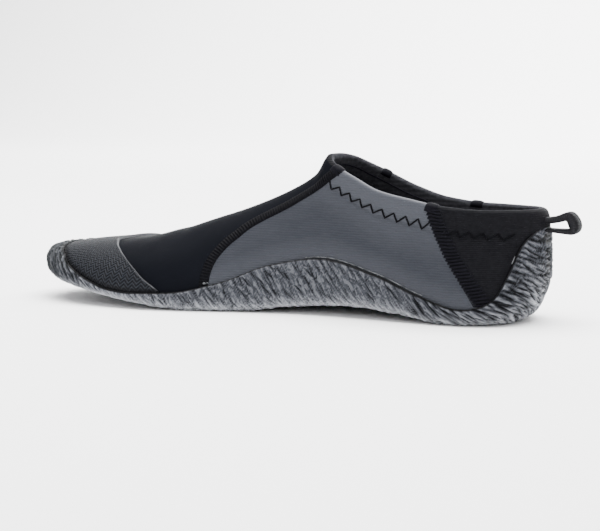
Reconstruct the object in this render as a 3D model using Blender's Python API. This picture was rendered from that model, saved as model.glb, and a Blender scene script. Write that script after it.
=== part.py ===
"""Slip-on wetsuit bootie for the right foot.

A hollow neoprene upper stands in a moulded rubber cup sole with a heel cup and a toe bumper.
Every curved piece is read from one function, form(), which gives the outside of the upper.
Sizes are in millimetres; a station is measured along the foot from the back of the heel.
The toe points to -X, the big-toe side to -Y, and the sole stands on z = 0.
"""

import math
from collections import namedtuple

import bmesh
import bpy
import numpy as np

MM = 0.001
HALVINGS = 40
NEAREST_ROUNDS = 6
SMALL_STEP = 1e-3
FINE_STEPS = 160
CREST_TURN = 0.9995
CREST_STEP = 0.1
MERGE_DISTANCE = 0.001 * MM
SHARP_ANGLE = math.radians(40.0)

# Driving sizes
SOLE_LENGTH = 290.0
NEOPRENE = 3.0
RUBBER_WALL = 2.0
GAP = 0.3
CUP_GAP = 0.45
SOLE_PLATE = 3.2
INSOLE_THICK = 3.0
HEEL_CENTRE = 42.0
BALL_STATION = 212.0
COLLAR_FRONT = 116.5

# The rubber stands this far outside the upper
RAND_OUT = RUBBER_WALL + CUP_GAP
HEEL_REACH = HEEL_CENTRE - RAND_OUT
TOE_REACH = SOLE_LENGTH - RAND_OUT - BALL_STATION

# Roundness of the plan outline at its ends, 2 is an ellipse
HEEL_POWER = 2.0
TOE_POWER_MEDIAL = 2.1
TOE_POWER_LATERAL = 1.85

# Half widths of the upper and the place of its ridge line
Plan = namedtuple("Plan", "station medial lateral ridge")
PLAN = (
    Plan(HEEL_CENTRE, 32.5, 33.0, 0.0),
    Plan(83.0, 30.0, 35.0, -1.5),
    Plan(116.0, 28.0, 37.5, -3.0),
    Plan(150.0, 33.0, 41.5, -4.0),
    Plan(181.0, 42.5, 47.5, -5.0),
    Plan(BALL_STATION, 48.7, 50.7, -6.0),
)

# Height of the ridge line; behind the collar it runs on up the leg, where nothing is built
Ridge = namedtuple("Ridge", "station height")
RIDGE = (
    Ridge(0.0, 118.0),
    Ridge(70.0, 117.0),
    Ridge(95.0, 104.0),
    Ridge(110.0, 90.0),
    Ridge(COLLAR_FRONT, 82.5),
    Ridge(125.0, 71.9),
    Ridge(138.0, 63.9),
    Ridge(160.0, 54.4),
    Ridge(185.0, 45.9),
    Ridge(207.0, 39.5),
    Ridge(222.0, 35.5),
    Ridge(246.0, 32.6),
    Ridge(275.0, 31.2),
    Ridge(SOLE_LENGTH, 30.8),
)

# Height of the sole's underside: flat heel, arch, flat forefoot and toe spring
Under = namedtuple("Under", "station medial lateral")
UNDER = (
    Under(0.0, 0.0, 0.0),
    Under(46.0, 0.0, 0.0),
    Under(66.0, 2.6, 0.6),
    Under(95.0, 5.2, 1.6),
    Under(130.0, 3.2, 0.9),
    Under(158.0, 0.0, 0.0),
    Under(186.0, 0.0, 0.0),
    Under(212.0, 2.6, 2.6),
    Under(240.0, 6.4, 6.4),
    Under(265.0, 9.6, 9.6),
    Under(SOLE_LENGTH, 12.0, 12.0),
)

# How far the lower edge is tucked in, and over what height
Tuck = namedtuple("Tuck", "station inward upward")
TUCK = (
    Tuck(0.0, 17.0, 22.0),
    Tuck(12.0, 11.0, 14.0),
    Tuck(HEEL_CENTRE, 5.0, 5.0),
    Tuck(95.0, 5.0, 6.0),
    Tuck(160.0, 4.0, 3.4),
    Tuck(240.0, 5.0, 3.6),
    Tuck(SOLE_LENGTH, 7.0, 5.0),
)

# Superellipse powers of the section above its widest point
Dome = namedtuple("Dome", "station across upward")
DOME = (
    Dome(0.0, 2.8, 1.9),
    Dome(60.0, 2.8, 1.9),
    Dome(COLLAR_FRONT, 2.3, 1.7),
    Dome(160.0, 2.1, 1.55),
    Dome(212.0, 2.2, 1.7),
    Dome(250.0, 2.8, 1.9),
    Dome(SOLE_LENGTH, 4.6, 2.2),
)

# Height of the rubber's upper edge
Rand = namedtuple("Rand", "station medial lateral")
RAND = (
    Rand(RAND_OUT, 48.3, 48.3),
    Rand(5.0, 45.6, 45.6),
    Rand(9.0, 40.0, 40.0),
    Rand(14.0, 27.0, 27.0),
    Rand(20.0, 14.5, 14.5),
    Rand(26.0, 10.2, 10.2),
    Rand(35.0, 8.4, 8.4),
    Rand(57.0, 13.9, 11.0),
    Rand(81.0, 22.8, 17.0),
    Rand(112.0, 29.4, 21.0),
    Rand(140.0, 25.0, 18.0),
    Rand(168.0, 14.6, 11.0),
    Rand(192.0, 8.4, 8.0),
    Rand(212.0, 8.7, 8.7),
    Rand(228.0, 10.1, 10.1),
    Rand(240.0, 13.0, 13.0),
    Rand(260.0, 20.4, 20.4),
    Rand(270.0, 24.8, 24.8),
    Rand(SOLE_LENGTH - RAND_OUT, 28.0, 28.0),
)

# Height of the collar's upper edge
Rim = namedtuple("Rim", "station medial lateral")
RIM = (
    Rim(0.0, 57.2, 57.2),
    Rim(20.0, 57.2, 56.7),
    Rim(42.0, 58.2, 57.0),
    Rim(64.0, 61.7, 59.4),
    Rim(82.0, 65.4, 65.0),
    Rim(96.0, 71.4, 71.8),
    Rim(106.0, 75.8, 77.2),
    Rim(113.0, 79.7, 81.2),
    Rim(COLLAR_FRONT, 82.5, 82.5),
)


def curve(rows, column, at):
    """Smooth curve through one column of a table, without overshoot and level at its ends."""
    place = np.array([row.station for row in rows])
    value = np.array([getattr(row, column) for row in rows])
    step = np.diff(place)
    rise = np.diff(value) / step
    slope = np.zeros(len(place))
    product = rise[:-1] * rise[1:]
    same = product > 0.0
    slope[1:-1][same] = 2.0 * product[same] / (rise[:-1] + rise[1:])[same]
    at = np.clip(at, place[0], place[-1])
    k = np.clip(np.searchsorted(place, at, side="right") - 1, 0, len(step) - 1)
    t = (at - place[k]) / step[k]
    blend = t * t * (3.0 - 2.0 * t)
    bend = step[k] * t * (1.0 - t) * (slope[k] * (1.0 - t) - slope[k + 1] * t)
    return value[k] + (value[k + 1] - value[k]) * blend + bend


def by_side(rows, side, at):
    """A table's value at a station, from its medial or its lateral column."""
    return np.where(side < 0, curve(rows, "medial", at), curve(rows, "lateral", at))


def spread(walk):
    """The plan of the section at each place on a walk round the foot.

    A walk of 0 is the back of the heel, 1 the side of the heel centre, 2 the side of the ball and 3
    the toe tip, negative on the medial side. Returns the section's root on the ridge line (station,
    across), its direction (along, across), its reach to the outline, and its side.
    """
    walk = np.asarray(walk, float)
    side = np.where(walk < 0, -1.0, 1.0)
    far = np.abs(walk)
    station = HEEL_CENTRE + np.clip(far - 1.0, 0.0, 1.0) * (BALL_STATION - HEEL_CENTRE)
    ridge = curve(PLAN, "ridge", station)
    half = by_side(PLAN, side, station) - side * ridge
    fan = np.clip(far - 2.0, 0.0, 1.0) - np.clip(1.0 - far, 0.0, 1.0)
    along = np.sin(fan * math.pi / 2)
    across = np.cos(fan * math.pi / 2)
    length = np.where(fan < 0, HEEL_REACH, TOE_REACH)
    power = np.where(side < 0, TOE_POWER_MEDIAL, TOE_POWER_LATERAL)
    power = np.where(fan < 0, HEEL_POWER, power)
    reach = ((np.abs(along) / length) ** power + (np.abs(across) / half) ** power) ** (-1.0 / power)
    return station, ridge, along, side * across, reach, side


def form(walk, turn):
    """Points on the outside of the upper, as (x, y, z) rows.

    A turn of -1 is the tucked lower edge, 0 the widest place and 1 the ridge line.
    """
    station, ridge, along, across, reach, side = spread(walk)
    turn = np.asarray(turn, float) * math.pi / 2
    outer = station + along * reach
    wide_rise = curve(TUCK, "upward", outer)
    wide = by_side(UNDER, side, outer) + RAND_OUT + wide_rise
    low = np.minimum(turn, 0.0)
    high = np.maximum(turn, 0.0)
    r = reach * np.abs(np.cos(high)) ** (2.0 / curve(DOME, "across", outer))
    r = r - curve(TUCK, "inward", outer) * (1.0 - np.cos(low))
    place = station + along * r
    dome = np.sin(high) ** (2.0 / curve(DOME, "upward", outer))
    z = wide + wide_rise * np.sin(low) + (curve(RIDGE, "height", place) - wide) * dome
    return np.stack([-place, ridge + across * r, z], axis=-1)


def slopes(walk, turn):
    """The form's directions along the walk and up the turn, per unit of each."""
    walk, turn = np.broadcast_arrays(np.asarray(walk, float), np.asarray(turn, float))
    upper = np.minimum(turn + SMALL_STEP, 1.0)
    lower = np.maximum(turn - SMALL_STEP, -1.0)
    round_about = (form(walk + SMALL_STEP, turn) - form(walk - SMALL_STEP, turn)) / (2 * SMALL_STEP)
    upward = (form(walk, upper) - form(walk, lower)) / (upper - lower)[..., None]
    return round_about, upward


def normals(walk, turn):
    """Outward unit normals of the form; on the ridge line both sides share one normal."""
    round_about, upward = slopes(walk, turn)
    normal = np.cross(round_about, upward)
    normal /= np.linalg.norm(normal, axis=-1, keepdims=True)
    station = spread(walk)[0]
    ahead = curve(RIDGE, "height", station + CREST_STEP)
    behind = curve(RIDGE, "height", station - CREST_STEP)
    climb = (ahead - behind) / (2 * CREST_STEP)
    crest = np.stack([climb, np.zeros_like(climb), np.ones_like(climb)], axis=-1)
    crest /= np.linalg.norm(crest, axis=-1, keepdims=True)
    return np.where((np.asarray(turn) > CREST_TURN)[..., None], crest, normal)


def skin(walk, turn, lift):
    """The form moved outwards by a lift."""
    walk, turn, lift = np.broadcast_arrays(walk, turn, lift)
    return form(walk, turn) + normals(walk, turn) * np.asarray(lift, float)[..., None]


def turn_at(walk, height, lift=0.0):
    """The turn at which each section, moved out by a lift, reaches a height, found by halving."""
    walk, height = np.broadcast_arrays(np.asarray(walk, float), np.asarray(height, float))
    low = np.full(walk.shape, -1.0)
    high = np.full(walk.shape, 1.0)
    for _ in range(HALVINGS):
        middle = (low + high) / 2
        below = skin(walk, middle, lift)[..., 2] < height
        low = np.where(below, middle, low)
        high = np.where(below, high, middle)
    return (low + high) / 2


def even_turns(walk, start, end, count):
    """Rows of turns between two limits, spaced half by angle and half by length on the form."""
    share = np.linspace(0.0, 1.0, FINE_STEPS)[:, None]
    turn = start + (end - start) * share
    step = np.linalg.norm(np.diff(form(walk, turn), axis=0), axis=-1)
    length = np.concatenate([np.zeros((1, step.shape[1])), np.cumsum(step, axis=0)])
    measure = (length / length[-1] + share) / 2
    wish = np.linspace(0.0, 1.0, count)
    columns = [np.interp(wish, measure[:, k], turn[:, k]) for k in range(len(walk))]
    return np.stack(columns, axis=1)


def nearest(points, walk, turn):
    """Walk and turn of the places on the form nearest to some points, from a first guess."""
    for _ in range(NEAREST_ROUNDS):
        round_about, upward = slopes(walk, turn)
        miss = points - form(walk, turn)
        steps = [np.linalg.lstsq(np.stack([a, b], axis=1), c, rcond=None)[0]
                 for a, b, c in zip(round_about, upward, miss)]
        walk = walk + np.array(steps)[:, 0]
        turn = np.clip(turn + np.array(steps)[:, 1], -1.0, 1.0)
    return walk, turn


def outline_station(walk):
    """Station of the upper's widest place."""
    station, _, along, _, reach, _ = spread(walk)
    return station + along * reach


def walk_at(station):
    """Walk along the straight part of the foot, between heel centre and ball."""
    return 1.0 + (station - HEEL_CENTRE) / (BALL_STATION - HEEL_CENTRE)


def under_at(walk):
    """Height of the sole's underside at its edge."""
    return by_side(UNDER, spread(walk)[5], outline_station(walk))


def rand_at(walk):
    """Height of the rubber's upper edge."""
    return by_side(RAND, spread(walk)[5], outline_station(walk))


def both_sides(half):
    """A closed walk round the foot from a half walk that runs from 0 to 3."""
    half = np.asarray(half)
    return np.concatenate([-half[::-1], half[1:-1]])


# Meshes


def add_lattice(mesh, points, closed):
    """Quads over a grid of points (rows, columns, xyz); returns the grid of vertices."""
    grid = [[mesh.verts.new(point * MM) for point in row] for row in points]
    columns = len(grid[0])
    for lower, upper in zip(grid, grid[1:]):
        for k in range(columns if closed else columns - 1):
            n = (k + 1) % columns
            mesh.faces.new((lower[k], lower[n], upper[n], upper[k]))
    return grid


def add_bridge(mesh, first, second, closed=False):
    """Quads between two rows of vertices."""
    count = len(first)
    for k in range(count if closed else count - 1):
        n = (k + 1) % count
        mesh.faces.new((first[k], first[n], second[n], second[k]))


def add_slab(mesh, inner, outer):
    """A closed slab between two open grids of points of one size."""
    low = add_lattice(mesh, inner, False)
    high = add_lattice(mesh, outer, False)
    add_bridge(mesh, low[0], high[0])
    add_bridge(mesh, low[-1], high[-1])
    add_bridge(mesh, [row[0] for row in low], [row[0] for row in high])
    add_bridge(mesh, [row[-1] for row in low], [row[-1] for row in high])


def make_material(name, colour, roughness):
    material = bpy.data.materials.new(name)
    material.use_nodes = True
    shader = material.node_tree.nodes["Principled BSDF"]
    shader.inputs["Base Color"].default_value = (*colour, 1.0)
    shader.inputs["Roughness"].default_value = roughness
    shader.inputs["Metallic"].default_value = 0.0
    return material


def finish(name, mesh, material, parent):
    """Close a mesh, turn its faces outwards and make it a named object."""
    bmesh.ops.remove_doubles(mesh, verts=mesh.verts, dist=MERGE_DISTANCE)
    bmesh.ops.dissolve_degenerate(mesh, edges=mesh.edges, dist=MERGE_DISTANCE)
    bmesh.ops.recalc_face_normals(mesh, faces=mesh.faces)
    data = bpy.data.meshes.new(name)
    mesh.to_mesh(data)
    mesh.free()
    data.shade_smooth()
    data.set_sharp_from_angle(angle=SHARP_ANGLE)
    data.materials.append(material)
    piece = bpy.data.objects.new(name, data)
    piece.parent = parent
    bpy.context.collection.objects.link(piece)
    return piece


# Upper
UPPER_ROWS = 14
HEEL_COLUMNS = 10
COLLAR_COLUMNS = 12
VAMP_COLUMNS = 10
TOE_COLUMNS = 12
COLLAR_CROWDING = 1.8


def upper_half_walk():
    """Columns from heel to toe, crowded where the collar turns across the instep."""
    heel = np.linspace(0.0, 1.0, HEEL_COLUMNS, endpoint=False)
    left = (1.0 - np.arange(COLLAR_COLUMNS) / COLLAR_COLUMNS) ** COLLAR_CROWDING
    collar = walk_at(COLLAR_FRONT - (COLLAR_FRONT - HEEL_CENTRE) * left)
    vamp = np.linspace(walk_at(COLLAR_FRONT), 2.0, VAMP_COLUMNS, endpoint=False)
    toe = np.linspace(2.0, 3.0, TOE_COLUMNS + 1)
    return np.concatenate([heel, collar, vamp, toe])


def collar_turn(walk):
    """The turn at which the upper ends: the collar's edge, or the ridge line in front of it."""
    rim = turn_at(walk, by_side(RIM, spread(walk)[5], outline_station(walk)))
    return np.where(spread(walk)[0] < COLLAR_FRONT - SMALL_STEP, rim, 1.0)


def make_upper(parent):
    walk = both_sides(upper_half_walk())
    start = turn_at(walk, under_at(walk) + SOLE_PLATE + GAP)
    end = collar_turn(walk)
    turn = even_turns(walk, start, end, UPPER_ROWS)
    mesh = bmesh.new()
    outside = add_lattice(mesh, skin(walk, turn, 0.0), True)
    inside = add_lattice(mesh, skin(walk, turn, -NEOPRENE), True)
    add_bridge(mesh, outside[0], inside[0], True)
    for k in range(len(walk)):
        n = (k + 1) % len(walk)
        if min(end[k], end[n]) < 1.0:
            mesh.faces.new((outside[-1][k], outside[-1][n], inside[-1][n], inside[-1][k]))
    return finish("upper", mesh, make_material("neoprene", (0.03, 0.03, 0.035), 0.8), parent)


# Outsole
SOLE_HEEL_COLUMNS = 14
SOLE_MIDDLE_COLUMNS = 36
SOLE_TOE_COLUMNS = 22
RIB_DEPTH = 0.5
RIB_LEAN = 7.0
LIP_ROUND = 0.8
WALL_SHARES = (0.3, 0.55, 0.8, 0.94)
INNER_SHARES = (1.0, 0.8, 0.6, 0.4, 0.2)
TREAD_DEPTH = 1.2
TREAD_PERIOD = 4
TREAD_SHARES = ((0.30, 0.0), (0.36, 1.0), (0.84, 1.0), (0.90, 0.0))


def sole_half_walk():
    heel = np.linspace(0.0, 1.0, SOLE_HEEL_COLUMNS, endpoint=False)
    middle = np.linspace(1.0, 2.0, SOLE_MIDDLE_COLUMNS, endpoint=False)
    toe = np.linspace(2.0, 3.0, SOLE_TOE_COLUMNS + 1)
    return np.concatenate([heel, middle, toe])


def floor_points(walk, share, edge, height):
    """Points between the ridge line's foot and an edge, at a share of the way out."""
    station, ridge, _, _, _, _ = spread(walk)
    middle = (curve(UNDER, "medial", station) + curve(UNDER, "lateral", station)) / 2 + height
    root = np.stack([-station, ridge, middle], axis=-1)
    return root + (edge - root) * share


def plate_edge(walk):
    """Where the top of the sole's plate meets the inside of its wall."""
    return skin(walk, turn_at(walk, under_at(walk) + SOLE_PLATE, CUP_GAP), CUP_GAP)


def plate_height(walk, points):
    """Height of the plate's top under each point."""
    edge = plate_edge(walk)
    root = floor_points(walk, 0.0, edge, SOLE_PLATE)
    out = np.linalg.norm(points[:, :2] - root[:, :2], axis=-1)
    share = out / np.linalg.norm(edge[:, :2] - root[:, :2], axis=-1)
    return root[:, 2] + (edge[:, 2] - root[:, 2]) * share


def make_outsole(parent):
    half = sole_half_walk()
    walk = both_sides(half)
    index = np.concatenate([np.arange(len(half))[::-1], np.arange(len(half))[1:-1]])
    rib = np.where(index % 2 == 0, RIB_DEPTH, -RIB_DEPTH)
    groove = np.where(index % TREAD_PERIOD == TREAD_PERIOD // 2, TREAD_DEPTH, 0.0)

    # The ribs lean towards the toe as they rise, and stand upright at heel and toe
    far = np.abs(walk)
    taper = np.clip(far, 0.0, 1.0) * np.clip(3.0 - far, 0.0, 1.0)
    per_walk = np.linalg.norm(slopes(walk, 0.0)[0], axis=-1)
    lean = np.sign(walk) * taper * RIB_LEAN / per_walk

    edge = skin(walk, -1.0, RAND_OUT)
    rows = [floor_points(walk, 0.0, edge, 0.0)]
    for share, depth in TREAD_SHARES:
        row = floor_points(walk, share, edge, 0.0)
        row[:, 2] += groove * depth
        rows.append(row)
    rows.append(edge)
    for share in WALL_SHARES:
        place = walk + lean * share
        turn = -1.0 + (turn_at(place, rand_at(place)) + 1.0) * share
        rows.append(skin(place, turn, RAND_OUT + rib))
    place = walk + lean
    turn = turn_at(place, rand_at(place))
    rows.append(skin(place, turn, RAND_OUT - LIP_ROUND))
    plate_turn = turn_at(walk, under_at(walk) + SOLE_PLATE, CUP_GAP)
    for share in INNER_SHARES:
        rows.append(skin(walk + lean * share, plate_turn + (turn - plate_turn) * share, CUP_GAP))
    plate = plate_edge(walk)
    rows.append(plate)
    rows.append(floor_points(walk, 0.0, plate, SOLE_PLATE))
    mesh = bmesh.new()
    add_lattice(mesh, np.array(rows), True)
    return finish("outsole", mesh, make_material("rubber", (0.11, 0.12, 0.14), 0.6), parent)


# Insole
INSOLE_COLUMNS = 16
INSOLE_CHAMFER = 2.5
INSOLE_ROUNDS = 4


def make_insole(parent):
    heel = np.linspace(0.0, 1.0, INSOLE_COLUMNS // 2, endpoint=False)
    middle = np.linspace(1.0, 2.0, INSOLE_COLUMNS, endpoint=False)
    toe = np.linspace(2.0, 3.0, INSOLE_COLUMNS + 1)
    walk = both_sides(np.concatenate([heel, middle, toe]))
    clear = -NEOPRENE - 2 * GAP
    upper_edge = plate_edge(walk)
    for _ in range(INSOLE_ROUNDS):
        top = plate_height(walk, upper_edge) + GAP + INSOLE_THICK
        upper_edge = skin(walk, turn_at(walk, top, clear), clear)
    station, ridge, _, _, _, _ = spread(walk)
    inward = np.stack([-station, ridge], axis=-1) - upper_edge[:, :2]
    inward /= np.linalg.norm(inward, axis=-1, keepdims=True)
    lower_edge = upper_edge.copy()
    lower_edge[:, :2] += inward * INSOLE_CHAMFER
    lower_edge[:, 2] = plate_height(walk, lower_edge) + GAP
    rows = [
        floor_points(walk, 0.0, lower_edge, SOLE_PLATE + GAP),
        lower_edge,
        upper_edge,
        floor_points(walk, 0.0, upper_edge, SOLE_PLATE + GAP + INSOLE_THICK),
    ]
    mesh = bmesh.new()
    add_lattice(mesh, np.array(rows), True)
    return finish("insole", mesh, make_material("insole_foam", (0.02, 0.02, 0.022), 0.9), parent)


# Toe cap
CAP_THICK = 0.8
CAP_GAP = 0.4
CAP_TOP_STATION = 242.0
CAP_RAND_STATION = 196.0
CAP_BEND = 1.15
CAP_COLUMNS = 15
CAP_ROWS = 9
CAP_CLEAR = 0.8
CAP_SIDE_COLUMNS = 4
CAP_SIDE_START = CAP_RAND_STATION + 5.0


def cap_turn(walk):
    """The turn at which each section crosses the toe cap's rear edge."""
    start = turn_at(walk, rand_at(walk) + CAP_CLEAR)
    bottom = curve(RAND, "medial", CAP_RAND_STATION)
    top = curve(RIDGE, "height", CAP_TOP_STATION)
    low = start.copy()
    high = np.ones_like(start)
    for _ in range(HALVINGS):
        middle = (low + high) / 2
        place = form(walk, middle)
        share = np.clip((place[..., 2] - bottom) / (top - bottom), 0.0, 1.0)
        limit = CAP_RAND_STATION + (CAP_TOP_STATION - CAP_RAND_STATION) * share ** CAP_BEND
        ahead = -place[..., 0] > limit
        low = np.where(ahead, middle, low)
        high = np.where(ahead, high, middle)
    return start, low


def make_toe_cap(parent):
    behind = np.linspace(walk_at(CAP_SIDE_START), 2.0, CAP_SIDE_COLUMNS, endpoint=False)
    side = np.concatenate([behind, np.linspace(2.0, 3.0, CAP_COLUMNS)])
    walk = np.concatenate([-side, side[::-1][1:]])
    start, end = cap_turn(walk)
    turn = even_turns(walk, start, end, CAP_ROWS)
    mesh = bmesh.new()
    add_slab(mesh, skin(walk, turn, CAP_GAP), skin(walk, turn, CAP_GAP + CAP_THICK))
    return finish("toe_cap", mesh, make_material("woven_toe_cap", (0.07, 0.075, 0.09), 0.6), parent)


# Flatlock seams: each row is a point of the seam's middle line
Seam = namedtuple("Seam", "station height")
VAMP_SEAM = (
    Seam(175.0, 14.0),
    Seam(174.0, 22.0),
    Seam(170.5, 31.0),
    Seam(162.0, 41.5),
    Seam(150.0, 49.5),
    Seam(136.0, 56.5),
    Seam(121.0, 65.3),
    Seam(113.5, 70.5),
    Seam(106.0, 75.0),
)
HEEL_SEAM = (
    Seam(27.5, 13.5),
    Seam(34.5, 25.8),
    Seam(43.5, 40.0),
    Seam(51.0, 59.0),
)
SEAM_THICK = 0.6
SEAM_POINTS = 17
VAMP_SEAM_WIDE = 5.0
HEEL_SEAM_WIDE = 6.5
SEAM_ACROSS = (-1.0, 0.0, 1.0)
SEAM_CROWN = (0.6, 1.0, 0.6)


def section_walk(station):
    """Walk of the section whose widest place lies at a station behind the ball."""
    if station >= HEEL_CENTRE:
        return walk_at(station)
    return 1.0 - math.asin((HEEL_CENTRE - station) / HEEL_REACH) / (math.pi / 2)


def make_seam(name, rows, side, wide, material, parent):
    places = np.array([side * section_walk(row.station) for row in rows])
    heights = np.array([row.height for row in rows])
    share = np.linspace(0.0, len(rows) - 1.0, SEAM_POINTS)
    walk = np.interp(share, np.arange(len(rows)), places)
    turn = turn_at(walk, np.interp(share, np.arange(len(rows)), heights))
    middle = form(walk, turn)
    path = np.gradient(middle, axis=0)
    path /= np.linalg.norm(path, axis=-1, keepdims=True)
    aside = np.cross(normals(walk, turn), path)
    inner = []
    outer = []
    for across, crown in zip(SEAM_ACROSS, SEAM_CROWN):
        place, rise = nearest(middle + aside * across * wide / 2, walk, turn)
        rise = np.minimum(rise, collar_turn(place))
        inner.append(skin(place, rise, GAP))
        outer.append(skin(place, rise, GAP + SEAM_THICK * crown))
    mesh = bmesh.new()
    add_slab(mesh, np.array(inner), np.array(outer))
    return finish(name, mesh, material, parent)


# Pull loop: a tape folded into a teardrop behind the heel
LOOP_HEIGHT = 51.4
LOOP_REACH = 17.0
LOOP_WIDE = 10.5
LOOP_TAPE = 1.9
LOOP_END_RADIUS = 6.0
LOOP_ROOT_HALF = 2.3
LOOP_HOLE_HALF = 0.6
LOOP_ARC_POINTS = 13


def teardrop(radius, root_back, root_half, centre_back):
    """Side outline: a root, a round end about centre_back, and the root again."""
    away = centre_back - root_back
    lift = math.asin(min((radius - root_half) / away, 1.0))
    first = math.pi / 2 + lift
    points = [(root_back, root_half)]
    for k in range(LOOP_ARC_POINTS):
        angle = first - 2 * first * k / (LOOP_ARC_POINTS - 1)
        points.append((centre_back + radius * math.cos(angle), radius * math.sin(angle)))
    points.append((root_back, -root_half))
    return points


def make_pull_loop(parent):
    back = form(0.0, turn_at(0.0, LOOP_HEIGHT))[0] + GAP
    centre = LOOP_REACH - LOOP_END_RADIUS
    outer = teardrop(LOOP_END_RADIUS, 0.0, LOOP_ROOT_HALF, centre)
    inner = teardrop(LOOP_END_RADIUS - LOOP_TAPE, LOOP_TAPE, LOOP_HOLE_HALF, centre)
    mesh = bmesh.new()
    rings = []
    for across in (-LOOP_WIDE / 2, LOOP_WIDE / 2):
        for outline in (outer, inner):
            rings.append([mesh.verts.new(((back + b) * MM, across * MM, (LOOP_HEIGHT + h) * MM))
                          for b, h in outline])
    outer_near, inner_near, outer_far, inner_far = rings
    add_bridge(mesh, outer_near, inner_near, True)
    add_bridge(mesh, outer_far, inner_far, True)
    add_bridge(mesh, outer_near, outer_far, True)
    add_bridge(mesh, inner_near, inner_far, True)
    return finish("pull_loop", mesh, make_material("webbing", (0.05, 0.05, 0.055), 0.8), parent)


def centre_on_floor(parent, pieces):
    """Move the shoe so that the middle of its box stands over the origin."""
    points = np.array([vert.co for piece in pieces for vert in piece.data.vertices])
    middle = (points.min(axis=0) + points.max(axis=0)) / 2
    parent.location = (-middle[0], -middle[1], 0.0)


def main():
    for old in list(bpy.data.objects):
        bpy.data.objects.remove(old, do_unlink=True)
    shoe = bpy.data.objects.new("bootie", None)
    bpy.context.collection.objects.link(shoe)
    thread = make_material("flatlock_thread", (0.015, 0.015, 0.018), 0.7)
    pieces = [
        make_outsole(shoe),
        make_insole(shoe),
        make_upper(shoe),
        make_toe_cap(shoe),
        make_pull_loop(shoe),
        make_seam("vamp_seam_medial", VAMP_SEAM, -1.0, VAMP_SEAM_WIDE, thread, shoe),
        make_seam("vamp_seam_lateral", VAMP_SEAM, 1.0, VAMP_SEAM_WIDE, thread, shoe),
        make_seam("heel_seam_medial", HEEL_SEAM, -1.0, HEEL_SEAM_WIDE, thread, shoe),
        make_seam("heel_seam_lateral", HEEL_SEAM, 1.0, HEEL_SEAM_WIDE, thread, shoe),
    ]
    centre_on_floor(shoe, pieces)


main()
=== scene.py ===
"""Looks of the slip-on wetsuit bootie for the right foot.

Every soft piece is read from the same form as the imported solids: a walk round the foot and a turn
up its section. Sizes are in millimetres, and a station is measured along the foot from the heel.
The toe points to -X, the big-toe side to -Y, and the sole stands on z = 0.
"""

import math
from collections import namedtuple

import bmesh
import bpy
import numpy as np
from mathutils import Matrix, Vector


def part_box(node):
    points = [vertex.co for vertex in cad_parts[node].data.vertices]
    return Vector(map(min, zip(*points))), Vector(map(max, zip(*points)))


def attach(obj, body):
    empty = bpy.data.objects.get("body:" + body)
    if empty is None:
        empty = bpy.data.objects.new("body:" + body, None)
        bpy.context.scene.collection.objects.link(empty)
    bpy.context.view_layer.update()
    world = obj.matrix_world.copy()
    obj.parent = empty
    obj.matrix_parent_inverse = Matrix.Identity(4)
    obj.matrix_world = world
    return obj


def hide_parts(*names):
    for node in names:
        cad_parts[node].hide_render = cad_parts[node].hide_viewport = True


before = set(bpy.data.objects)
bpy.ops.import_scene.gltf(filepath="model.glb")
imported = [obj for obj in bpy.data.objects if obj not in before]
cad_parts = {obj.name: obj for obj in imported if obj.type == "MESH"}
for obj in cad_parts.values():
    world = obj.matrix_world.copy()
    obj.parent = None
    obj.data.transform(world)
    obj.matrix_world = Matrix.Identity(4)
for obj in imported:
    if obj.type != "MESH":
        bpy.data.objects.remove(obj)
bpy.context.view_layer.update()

MM = 0.001
MEDIAL = -1.0
LATERAL = 1.0
SIDES = (MEDIAL, LATERAL)
SIDE_NAMES = (("medial", MEDIAL), ("lateral", LATERAL))
HALVINGS = 26
NEAREST_ROUNDS = 6
PLACE_ROUNDS = 4
SMALL_STEP = 1e-3
SMALL_AREA = 1e-9
FINE_STEPS = 160
PATH_STEPS = 640
CREST_TURN = 0.9995
CREST_STEP = 0.1
MERGE_DISTANCE = 0.002 * MM
SAME_SPOT = 0.001
SHARP_DEGREES = 50.0


# Small helpers

def table(columns, *rows):
    """Rows of values whose columns have names."""
    row = namedtuple("Row", columns)
    return tuple(row(*values) for values in rows)


def share_of(value):
    """A value held between 0 and 1."""
    return np.clip(value, 0.0, 1.0)


def ease(t):
    """A step from 0 to 1 that is level at both ends."""
    return t * t * (3.0 - 2.0 * t)


def bell(value):
    return np.exp(-value ** 2)


def unit(vectors):
    return vectors / np.linalg.norm(vectors, axis=-1, keepdims=True)


def run_along(points):
    """Distance along some points from the first one."""
    return np.r_[0.0, np.cumsum(np.linalg.norm(np.diff(points, axis=0), axis=-1))]


def runs_up(points):
    """Distance up each column of a grid from its first row."""
    step = np.linalg.norm(np.diff(points, axis=0), axis=-1)
    return np.concatenate([np.zeros((1, step.shape[1])), np.cumsum(step, axis=0)])


def resample(path, count):
    """The same path with even steps."""
    run = run_along(path)
    wish = np.linspace(0.0, run[-1], count)
    return np.stack([np.interp(wish, run, column) for column in path.T], axis=-1)


# Driving sizes, as in the solids
SOLE_LENGTH = 290.0
NEOPRENE = 3.0
RUBBER_WALL = 2.0
GAP = 0.3
CUP_GAP = 0.45
SOLE_PLATE = 3.2
INSOLE_THICK = 3.0
HEEL_CENTRE = 42.0
BALL_STATION = 212.0
COLLAR_FRONT = 116.5
RAND_OUT = RUBBER_WALL + CUP_GAP
HEEL_REACH = HEEL_CENTRE - RAND_OUT
TOE_REACH = SOLE_LENGTH - RAND_OUT - BALL_STATION
HEEL_POWER = 2.0
TOE_POWER_MEDIAL = 2.1
TOE_POWER_LATERAL = 1.85

# Half widths of the upper and the place of its ridge line
PLAN = table(
    "station medial lateral ridge",
    (HEEL_CENTRE, 32.5, 33.0, 0.0), (83.0, 30.0, 35.0, -1.5), (116.0, 28.0, 37.5, -3.0),
    (150.0, 33.0, 41.5, -4.0), (181.0, 42.5, 47.5, -5.0), (BALL_STATION, 48.7, 50.7, -6.0),
)

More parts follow.
